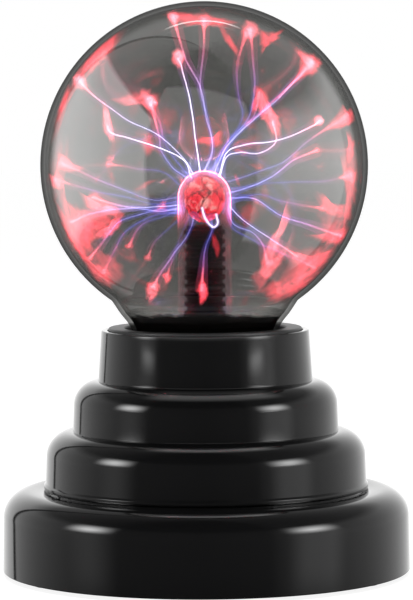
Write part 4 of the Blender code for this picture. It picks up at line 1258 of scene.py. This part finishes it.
# Each has its outline, its wall, level and pale
PATCHES = (
    # A band at the top and the blobs beside it
    Patch(((-9.6, 36.8), (-7.6, 37.6), (-3, 37.4), (2, 36.6), (7.6, 34.9), (6.4, 33.2), (0, 34),
        (-6.4, 34)), FAR, 1.3),
    Patch(((-9.4, 37.2), (-7, 37.6), (-5.6, 36.4), (-6.6, 34.4), (-8.4, 34.8)), FAR, 1.6, 0.5),
    Patch(((-2, 37), (1.6, 36.6), (2.2, 34.8), (0.2, 33), (-1.2, 34.8)), FAR, 1, 0.2),
    Patch(((3, 34.8), (4.6, 34.4), (9, 27.6), (8.2, 26.6), (4.8, 30.4)), FAR, 0.6),
    Patch(((9, 34), (11.2, 35.2), (13.4, 34), (13.6, 31.8), (11.4, 30.4), (9.6, 31.6)), NEAR, 1.5, 0.4),
    Patch(((12.8, 33.4), (16, 32.4), (19.4, 33), (18.6, 31), (15.4, 28.6), (14, 26.8), (13.4, 30)),
        NEAR, 1),
    Patch(((-8, 27.6), (-6, 28.6), (-4.4, 27.2), (-4.6, 25), (-6.2, 23.6), (-7.6, 25.4)), NEAR, 2, 0.6),
    Patch(((21.8, 28), (26, 27.6), (29, 25.2), (28, 22.6), (25.6, 21.4), (24.4, 23.8)), NEAR, 1.7, 0.15),
    Patch(((23.4, 26.6), (26.4, 26.4), (27.4, 24.4), (25.6, 23)), NEAR, 1.3, 0.7),
    # A long streak and the funnel at the upper left
    Patch(((-19, 34.4), (-21.6, 33.4), (-26.6, 28.8), (-31, 23.6), (-32.4, 20.6), (-29, 21),
        (-24.8, 25.2), (-20.8, 30)), NEAR, 1.3),
    Patch(((-33.6, 22.4), (-30.6, 22.8), (-28.2, 20.4), (-29.2, 18.4), (-32.4, 19.6)), NEAR, 1.5, 0.6),
    Patch(((-33.8, 19.6), (-32.2, 19.4), (-34, 14), (-36, 9.4), (-35.8, 14)), NEAR, 0.8),
    Patch(((-22.4, 16.2), (-18.4, 17.4), (-13.6, 18.8), (-10.8, 17), (-11.6, 14.2), (-13.6, 13.2),
        (-15.4, 15), (-19, 14.6)), FAR, 1.2, 0.3),
    Patch(((-14.8, 16.4), (-12.6, 17.2), (-11.4, 15.6), (-12.4, 13.6), (-14.2, 14.2)), FAR, 1.4, 0.8),
    Patch(((-24.8, 14.2), (-23.6, 15.2), (-22.6, 11.2), (-21.8, 7.2), (-22, 4.8), (-23.4, 6.6),
        (-24.8, 10.2)), NEAR, 2.2, 0.35),
    # Along the left side
    Patch(((-36.6, 3.6), (-33.6, 2.4), (-31.4, 0.4), (-29, -0.6), (-32.6, -1.6), (-35.8, -0.4)),
        NEAR, 1.2, 0.1),
    Patch(((-38, -1.8), (-35.8, -3), (-34.2, -5), (-36.2, -6), (-37.4, -4.4)), FAR, 1.4, 0.2),
    Patch(((-30.4, -6.4), (-27, -8.4), (-22.8, -9.2), (-20, -11), (-21, -13), (-25.2, -11.4),
        (-29.6, -9.6)), NEAR, 2, 0.15),
    Patch(((-20, -11), (-20.6, -14.6), (-23.6, -17.4), (-27.6, -18), (-25.8, -15.8), (-22.8, -14),
        (-22, -12)), NEAR, 2, 0.1),
    Patch(((-34.6, -9.4), (-30.4, -9.2), (-26.4, -12.4), (-26.8, -17.6), (-29.8, -20.4), (-33.2, -17.6)),
        NEAR, 1.1),
    Patch(((-36.4, -8.2), (-35, -14), (-31.6, -20.6), (-27.6, -24.6), (-30, -18.6), (-33, -13)), FAR, 1.1),
    Patch(((-32, -19.2), (-28.6, -22.6), (-24.4, -24.6), (-21.6, -28.6), (-24, -29.6), (-28.4, -26.2)),
        NEAR, 0.9, 0.1),
    Patch(((-36, 9), (-33, 8), (-33.4, 1), (-34.6, -8), (-32.6, -16), (-36, -11), (-38, 0)), NEAR, 0.32),
    Patch(((-29.8, 25.2), (-27.4, 25), (-33, 15.4), (-36.6, 5), (-37.2, 9.6), (-34.2, 18.4)), FAR, 0.3),
    Patch(((-26.6, -9.2), (-22.2, -10.6), (-21.4, -14.4), (-25.4, -17), (-30.2, -15.8), (-31, -11.4)),
        NEAR, 0.8),
    Patch(((-33.4, -11.6), (-28.6, -13), (-26.2, -17.2), (-29.6, -22.8), (-34, -16.6)), FAR, 0.8),
    Patch(((-29, -20), (-24.4, -20.6), (-19.8, -24.4), (-20.6, -28.8), (-26, -27)), FAR, 0.45, 0.05),
    # Down past the stem
    Patch(((-14.8, -29.8), (-12.8, -28.2), (-11, -29), (-11.6, -31.8), (-13.4, -33.2), (-14.8, -31.6)),
        NEAR, 1.6, 0.3),
    Patch(((-10.4, -26.6), (-8.8, -26), (-8.2, -27.8), (-9.6, -28.8)), FAR, 1, 0.1),
    Patch(((-1.6, -29), (-0.4, -27.8), (0.6, -29.6), (0.8, -32), (-0.6, -33.8), (-1.8, -32.2)),
        NEAR, 1.8, 0.1),
    Patch(((1.4, -16.4), (2.8, -17), (3.9, -20.4), (3, -22.4), (1.9, -19.6)), NEAR, 0.4),
    # Along the right side
    Patch(((13.4, 18), (15, 18.4), (16.6, 14.4), (18.6, 11.2), (19, 7.4), (17.2, 6.8), (15.4, 10),
        (13.6, 11.6), (13, 14.6)), NEAR, 2.3, 0.2),
    Patch(((11.6, 12.6), (13, 13.4), (14.2, 18.4), (12.8, 17.6), (11.4, 14.6)), FAR, 1),
    Patch(((26.8, 11.4), (28.4, 12.4), (29.6, 11), (28.6, 9.4), (27, 9.8)), NEAR, 2, 0.7),
    Patch(((29, 8.4), (32.6, 10.6), (36.2, 14.4), (37.2, 12.4), (36.4, 10), (32.8, 8.6)), NEAR, 1.2, 0.05),
    Patch(((34.6, 8.4), (36.6, 6.2), (36.6, 2.2), (35.2, 0.4), (34.6, 3.4), (35.2, 5.8)), FAR, 1.1),
    Patch(((32.4, -3.2), (35.2, -1.2), (37, -2), (36.6, -4.6), (34.4, -4)), FAR, 1.2, 0.1),
    Patch(((26.2, -7.6), (28.6, -6.6), (31, -9.2), (35.4, -9.8), (36, -12.8), (32.4, -13.2), (28.8, -11.4)),
        NEAR, 1.1, 0.05),
    Patch(((20.4, -8.4), (19, -13.2), (15.4, -18.8), (14, -23.4), (16.6, -23.8), (19, -17.6), (21.6, -12)),
        NEAR, 1.2, 0.5),
    Patch(((24.6, -17.2), (30.4, -16.4), (36, -15), (35, -18.6), (30.4, -19.6), (27.6, -18.8)),
        NEAR, 1, 0.05),
    Patch(((19.6, -20.4), (24.8, -22), (32.6, -20.4), (30.4, -24), (25.6, -25.8), (21.2, -24)),
        FAR, 0.9, 0.05),
    Patch(((16, -29.4), (21.4, -26.8), (28.6, -24), (27.4, -28.6), (22, -32), (17.4, -33.6), (14, -34.4)),
        NEAR, 0.9, 0.1),
    Patch(((11, -27.4), (14.6, -24), (19.8, -20.4), (18.8, -24), (15.4, -28.4), (12.6, -31)), FAR, 1, 0.25),
    Patch(((33.2, 2.4), (36.4, 5), (37.6, -2), (36.6, -10.6), (33.6, -17.4), (34.4, -8)), FAR, 0.7),
    Patch(((28, -12.6), (34.2, -12), (34.8, -17), (31.6, -20.4), (28.6, -17)), NEAR, 0.5),
    Patch(((22.4, -21.6), (29.4, -19.2), (32.2, -20.8), (27.4, -26.6), (20.4, -30.6), (17.2, -29)),
        NEAR, 0.7, 0.05),
    Patch(((14.2, -20.8), (18.6, -17.8), (19.4, -21.6), (16.6, -26.4), (13, -27.6)), NEAR, 0.6, 0.25),
    # At the back
    Patch(((-3.4, 6), (0, 4.8), (3.2, 4.2), (4.8, 6.4), (4.2, 8.8), (2, 7), (-1.2, 7.2)), FAR, 1),
    Patch(((-16, 6), (-13, 8), (-12, 4), (-14.4, 2)), FAR, 0.5),
    Patch(((16, -28), (20, -29), (18, -32), (13, -31)), FAR, 0.6),
)


def smooth_ring(corners, steps):
    """Points on a closed Catmull-Rom curve through the corners."""
    corners = list(corners)
    line = smooth_line([(*corner, 0.0) for corner in corners[-1:] + corners + corners[:2]], steps)
    return line[steps:-2 * steps]


def add_patch(shape, patch, rings=9):
    """A thin lens on the wall with a ragged edge and bright fibres."""
    layer = glow_layer(shape)
    outline = smooth_ring(patch.outline, 8)
    middle = sum(outline, Vector((0.0, 0.0, 0.0))) / len(outline)
    colour = FUNNEL_RED.lerp(FUNNEL_PALE, patch.pale)

    def vertex_at(corner, share, off):
        ragged = noise.noise(corner * 0.7) * 0.28 + noise.noise(corner * 2.1) * 0.16
        spot = middle + (corner - middle) * share * (1.08 + ragged)
        place = on_wall(spot, patch.far, WALL_REACH - off * (1.0 - share * share))
        made = shape.verts.new(place)
        cloud = 0.80 + 0.75 * noise.fractal(place * 0.5, 0.8, 2.1, 4)
        fade = smooth_share(1.0 - share, 0.75) * smooth_share(abs(place.y), 7.0)
        made[layer] = (*(colour * fade * max(cloud, 0.05) * patch.level), 1.0)
        return made

    rim = [vertex_at(corner, 1.0, 0.0) for corner in outline]
    for off in (0.0, 0.25):
        centre = vertex_at(outline[0], 0.0, off)
        loops = []
        for ring in range(1, rings):
            loops.append([vertex_at(corner, ring / rings, off) for corner in outline])
        loops.append(rim)
        for step in range(len(outline)):
            after = (step + 1) % len(outline)
            shape.faces.new((centre, loops[0][step], loops[0][after]))
            for near, far in zip(loops, loops[1:]):
                shape.faces.new((near[step], far[step], far[after], near[after]))


def press_to_wall(shape):
    """Keeps a shape inside the glass."""
    for vertex in shape.verts:
        off = vertex.co - GLOBE_CENTRE
        if off.length > WALL_REACH:
            vertex.co = GLOBE_CENTRE + off.normalized() * WALL_REACH


def make_discharge(look, mirrors):
    """The threads, their funnels, the light on the wall and a loose curl in front of the dome. Of the objects
    around them, only those in mirrors reflect them."""
    cores, halos, funnels, patches = (bmesh.new() for _ in range(4))
    for thread in THREADS:
        add_thread(cores, halos, funnels, thread)
    curl = smooth_line(CURL, 10)
    pale = [Vector((1.0, 0.86, 1.0))] * len(curl)
    add_tube(cores, curl, [0.2] * len(curl), 6, pale)
    add_tube(halos, curl, [0.5] * len(curl), 8, [Vector((0.5, 0.42, 1.0)) * 0.6] * len(curl))
    for patch in PATCHES:
        add_patch(patches, patch)
    for shape in (cores, halos, funnels):
        press_to_wall(shape)
    for name, shape, finish in (
        ("discharge_cores", cores, look["core"]),
        ("discharge_halos", halos, look["halo"]),
        ("discharge_funnels", funnels, look["funnel"]),
        ("discharge_on_wall", patches, look["wall_glow"]),
    ):
        light = as_object(name, shape, finish, sharp=180.0)
        light.light_linking.receiver_collection = mirrors
        place_piece(light, LAMP, "clear_glass")


# Surroundings


def carry_over(frame, look):
    """Gives the CAD nodes that stay the finish of their material slot."""
    finishes = {"clear_glass": "stem_glass"}
    for part in frame["record"]["subparts"]:
        obj = frame["nodes"][part["node"]]
        slot = part["material_slot"]
        finish = look[finishes.get(slot, slot)]
        obj.data.materials.clear()
        obj.data.materials.append(finish)
        obj.data.shade_smooth()
        obj.data.set_sharp_from_angle(angle=math.radians(35))


def make_camera():
    data = bpy.data.cameras.new("camera")
    data.lens = LENS
    data.sensor_width = SENSOR_HEIGHT
    camera = bpy.data.objects.new("camera", data)
    camera.location = Vector((EYE_RIGHT, -EYE_DISTANCE, EYE_HEIGHT)) * MM
    tilt = Matrix.Rotation(math.radians(90.0 - EYE_TILT), 4, "X")
    camera.rotation_euler = (tilt @ Matrix.Rotation(math.radians(EYE_ROLL), 4, "Z")).to_euler()
    bpy.context.scene.collection.objects.link(camera)
    bpy.context.scene.camera = camera


# How bright the studio is by azimuth, and by height from the nadir (0) to the zenith (1)
STUDIO_WALL = (
    (-180.0, 1.5),
    (-142.0, 1.35),
    (-141.0, 0.03),
    (-138.0, 0.03),
    (-137.0, 1.0),
    (-104.0, 0.70),
    (-78.0, 0.42),
    (-52.0, 0.14),
    (0.0, 0.10),
    (36.0, 0.13),
    (50.0, 0.42),
    (100.0, 0.70),
    (140.0, 1.1),
    (180.0, 1.5),
)
STUDIO_HEIGHT = ((0.25, 0.2), (0.38, 0.75), (0.5, 1.0), (0.72, 0.85), (0.80, 0.3), (1.0, 0.2))


def make_world():
    """White to the eye. What the gloss mirrors is a studio with a bright back wall and dim sides."""
    world = bpy.data.worlds.new("studio")
    world.use_nodes = True
    tree = world.node_tree
    tree.nodes.clear()
    way = node(tree, "SeparateXYZ", {"Vector": node(tree, "TexCoord").outputs["Generated"]})
    towards = math_node(tree, "MULTIPLY", way.outputs["Y"], -1.0)
    azimuth = math_node(tree, "ARCTAN2", way.outputs["X"], towards)
    turn = math_node(tree, "MULTIPLY_ADD", azimuth, 1.0 / math.tau, 0.5)
    wall = ramp(tree, turn, [((degrees + 180.0) / 360.0, level) for degrees, level in STUDIO_WALL])
    raised = math_node(tree, "MULTIPLY_ADD", way.outputs["Z"], 0.5, 0.5)
    mirrored = mix_colour(tree, 1.0, wall, ramp(tree, raised, STUDIO_HEIGHT), "MULTIPLY")
    seen = node(tree, "LightPath").outputs["Is Camera Ray"]
    shine = node(tree, "Background", {"Color": mix_colour(tree, seen, mirrored, (1.0, 1.0, 1.0))})
    node(tree, "OutputWorld", {"Surface": shine.outputs[0]})
    bpy.context.scene.world = world


def make_floor():
    """A pale floor that only shows the contact shadow, and is clear from below."""
    made, tree = blank("floor")
    light = output(tree, "Emission", {"Color": WHITE, "Strength": 0.90})
    matte = output(tree, "BsdfDiffuse", {"Color": (0.35, 0.35, 0.35, 1.0)})
    top = output(tree, "AddShader", {0: light, 1: matte})
    under = node(tree, "NewGeometry").outputs["Backfacing"]
    finish_with(made, output(tree, "MixShader", {0: under, 1: top, 2: clear(tree)}))
    made.cycles.emission_sampling = "NONE"
    shape = bmesh.new()
    bmesh.ops.create_grid(shape, x_segments=8, y_segments=8, size=4000.0)
    floor = as_object("floor", shape, made, outward=False)
    floor.visible_glossy = False


class Card(NamedTuple):
    """A panel of light seen only in reflections. It's part of a sphere, between two azimuths and two
    elevations, and fades over soft degrees at its sides, its foot and its top. One with a crown is tallest
    at that azimuth, as a flat wall would be."""

    azimuths: tuple
    elevations: tuple
    radiance: float
    soft: tuple
    distance: float = 620.0
    height: float = 30.0
    crown: float = None


def make_card(name, card, receivers, finish, steps=32):
    """Only the receivers mirror the panel."""
    shape = bmesh.new()
    layer = glow_layer(shape)
    centre = Vector((0.0, 0.0, card.height))
    left, right = card.azimuths
    foot, top = card.elevations
    rows = []
    for row in range(steps + 1):
        line = []
        for column in range(steps + 1):
            azimuth = left + (right - left) * column / steps
            turn = 0.0 if card.crown is None else math.radians(azimuth - card.crown)
            highest = math.degrees(math.atan(math.tan(math.radians(top)) * math.cos(turn)))
            elevation = foot + (highest - foot) * row / steps
            side = smooth_share(min(azimuth - left, right - azimuth), card.soft[0])
            level = card.radiance * side * smooth_share(elevation - foot, card.soft[1])
            level *= smooth_share(highest - elevation, card.soft[2])
            made = shape.verts.new(centre + direction(azimuth, elevation) * card.distance)
            made[layer] = (level, level, level, 1.0)
            line.append(made)
        rows.append(line)
    for low, high in zip(rows, rows[1:]):
        for column in range(steps):
            shape.faces.new((low[column], low[column + 1], high[column + 1], high[column]))
    panel = as_object(name, shape, finish, sharp=180.0)
    panel.visible_camera = False
    panel.visible_diffuse = False
    panel.visible_transmission = False
    panel.visible_shadow = False
    panel.light_linking.receiver_collection = receivers


BASE_CARDS = (
    # Two soft boxes for the shoulders, and a faint foot under each
    Card((-88, -50), (5, 36), 11.0, (19.0, 14.0, 16.0)),
    Card((42, 82), (5, 36), 10.0, (20.0, 14.0, 16.0)),
    Card((-84, -46), (-24, 14), 0.35, (19.0, 12.0, 8.0)),
    Card((43, 84), (-24, 14), 0.55, (14.0, 12.0, 8.0)),
    # Near panels whose upper edge shows on the collar
    Card((-71, -48), (0.6, 3.7), 3.4, (11.0, 3.0, 0.9), 150.0, 52.0),
    Card((40, 64), (0.6, 3.7), 4.6, (11.0, 3.0, 0.9), 150.0, 52.0),
    # A canopy over the shoulders
    Card((-50, 64), (50, 68), 1.3, (24.0, 8.0, 6.0), 62.0, 12.0),
)
GLOBE_CARDS = (
    # Three walls of a room, and a tube light overhead
    Card((-150, -38), (-27, 47), 0.68, (2.5, 4.0, 2.0), 620.0, GLOBE_CENTRE.z, -95.0),
    Card((-40, 36), (-20, 56), 0.20, (2.5, 6.0, 2.0), 620.0, GLOBE_CENTRE.z, -16.0),
    Card((34, 115), (-50, 41), 0.34, (2.5, 4.0, 30.0), 620.0, GLOBE_CENTRE.z, 70.0),
    Card((-213, -146), (60.0, 62.4), 2.2, (16.0, 0.8, 0.8), 620.0, GLOBE_CENTRE.z),
)


def mirror_group(name, objects):
    group = bpy.data.collections.new(name)
    for obj in objects:
        group.objects.link(obj)
    return group


def make_cards(look, base, globe):
    """The base and the globe each mirror cards of their own, and the base doesn't mirror the discharge."""
    for name, objects, cards in (("base", base, BASE_CARDS), ("globe", [globe], GLOBE_CARDS)):
        receivers = mirror_group(f"{name}_mirrors", objects)
        for number, card in enumerate(cards):
            make_card(f"{name}_card_{number}", card, receivers, look["card"])


def make_lights():
    """Soft light from above for the matte pieces."""
    data = bpy.data.lights.new("soft_top", "AREA")
    data.shape = "DISK"
    data.size = 0.7
    data.energy = 6.0
    light = bpy.data.objects.new("soft_top", data)
    light.location = Vector((0.0, -250.0, 900.0)) * MM
    light.rotation_euler = (math.radians(-15.0), 0.0, 0.0)
    light.visible_glossy = False
    bpy.context.scene.collection.objects.link(light)


def make_lamp(look):
    """Every fine piece. Returns the glossy pieces of the base and the globe."""
    globe = make_globe(look)
    make_coating(look)
    make_stem(look)
    make_wool(look)
    make_sleeve(look)
    make_sheaths()
    make_discharge(look, mirror_group("discharge_mirrors", [globe]))
    base = [make_ring(look), make_upper_housing(look), make_lower_housing(look)]
    make_bottom_cover(look)
    make_battery_door(look)
    make_feet(look)
    make_housing_screws(look)
    make_cells(look)
    make_springs(look)
    make_knob(look)
    make_socket(look)
    return base, globe


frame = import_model()
bpy.context.scene.view_settings.view_transform = "Standard"
bpy.context.scene.cycles.transparent_max_bounces = 96
noise.seed_set(SEED)
make_camera()
materials = make_materials()
carry_over(frame, materials)
glossy, globe = make_lamp(materials)
make_world()
make_floor()
make_cards(materials, glossy, globe)
make_lights()
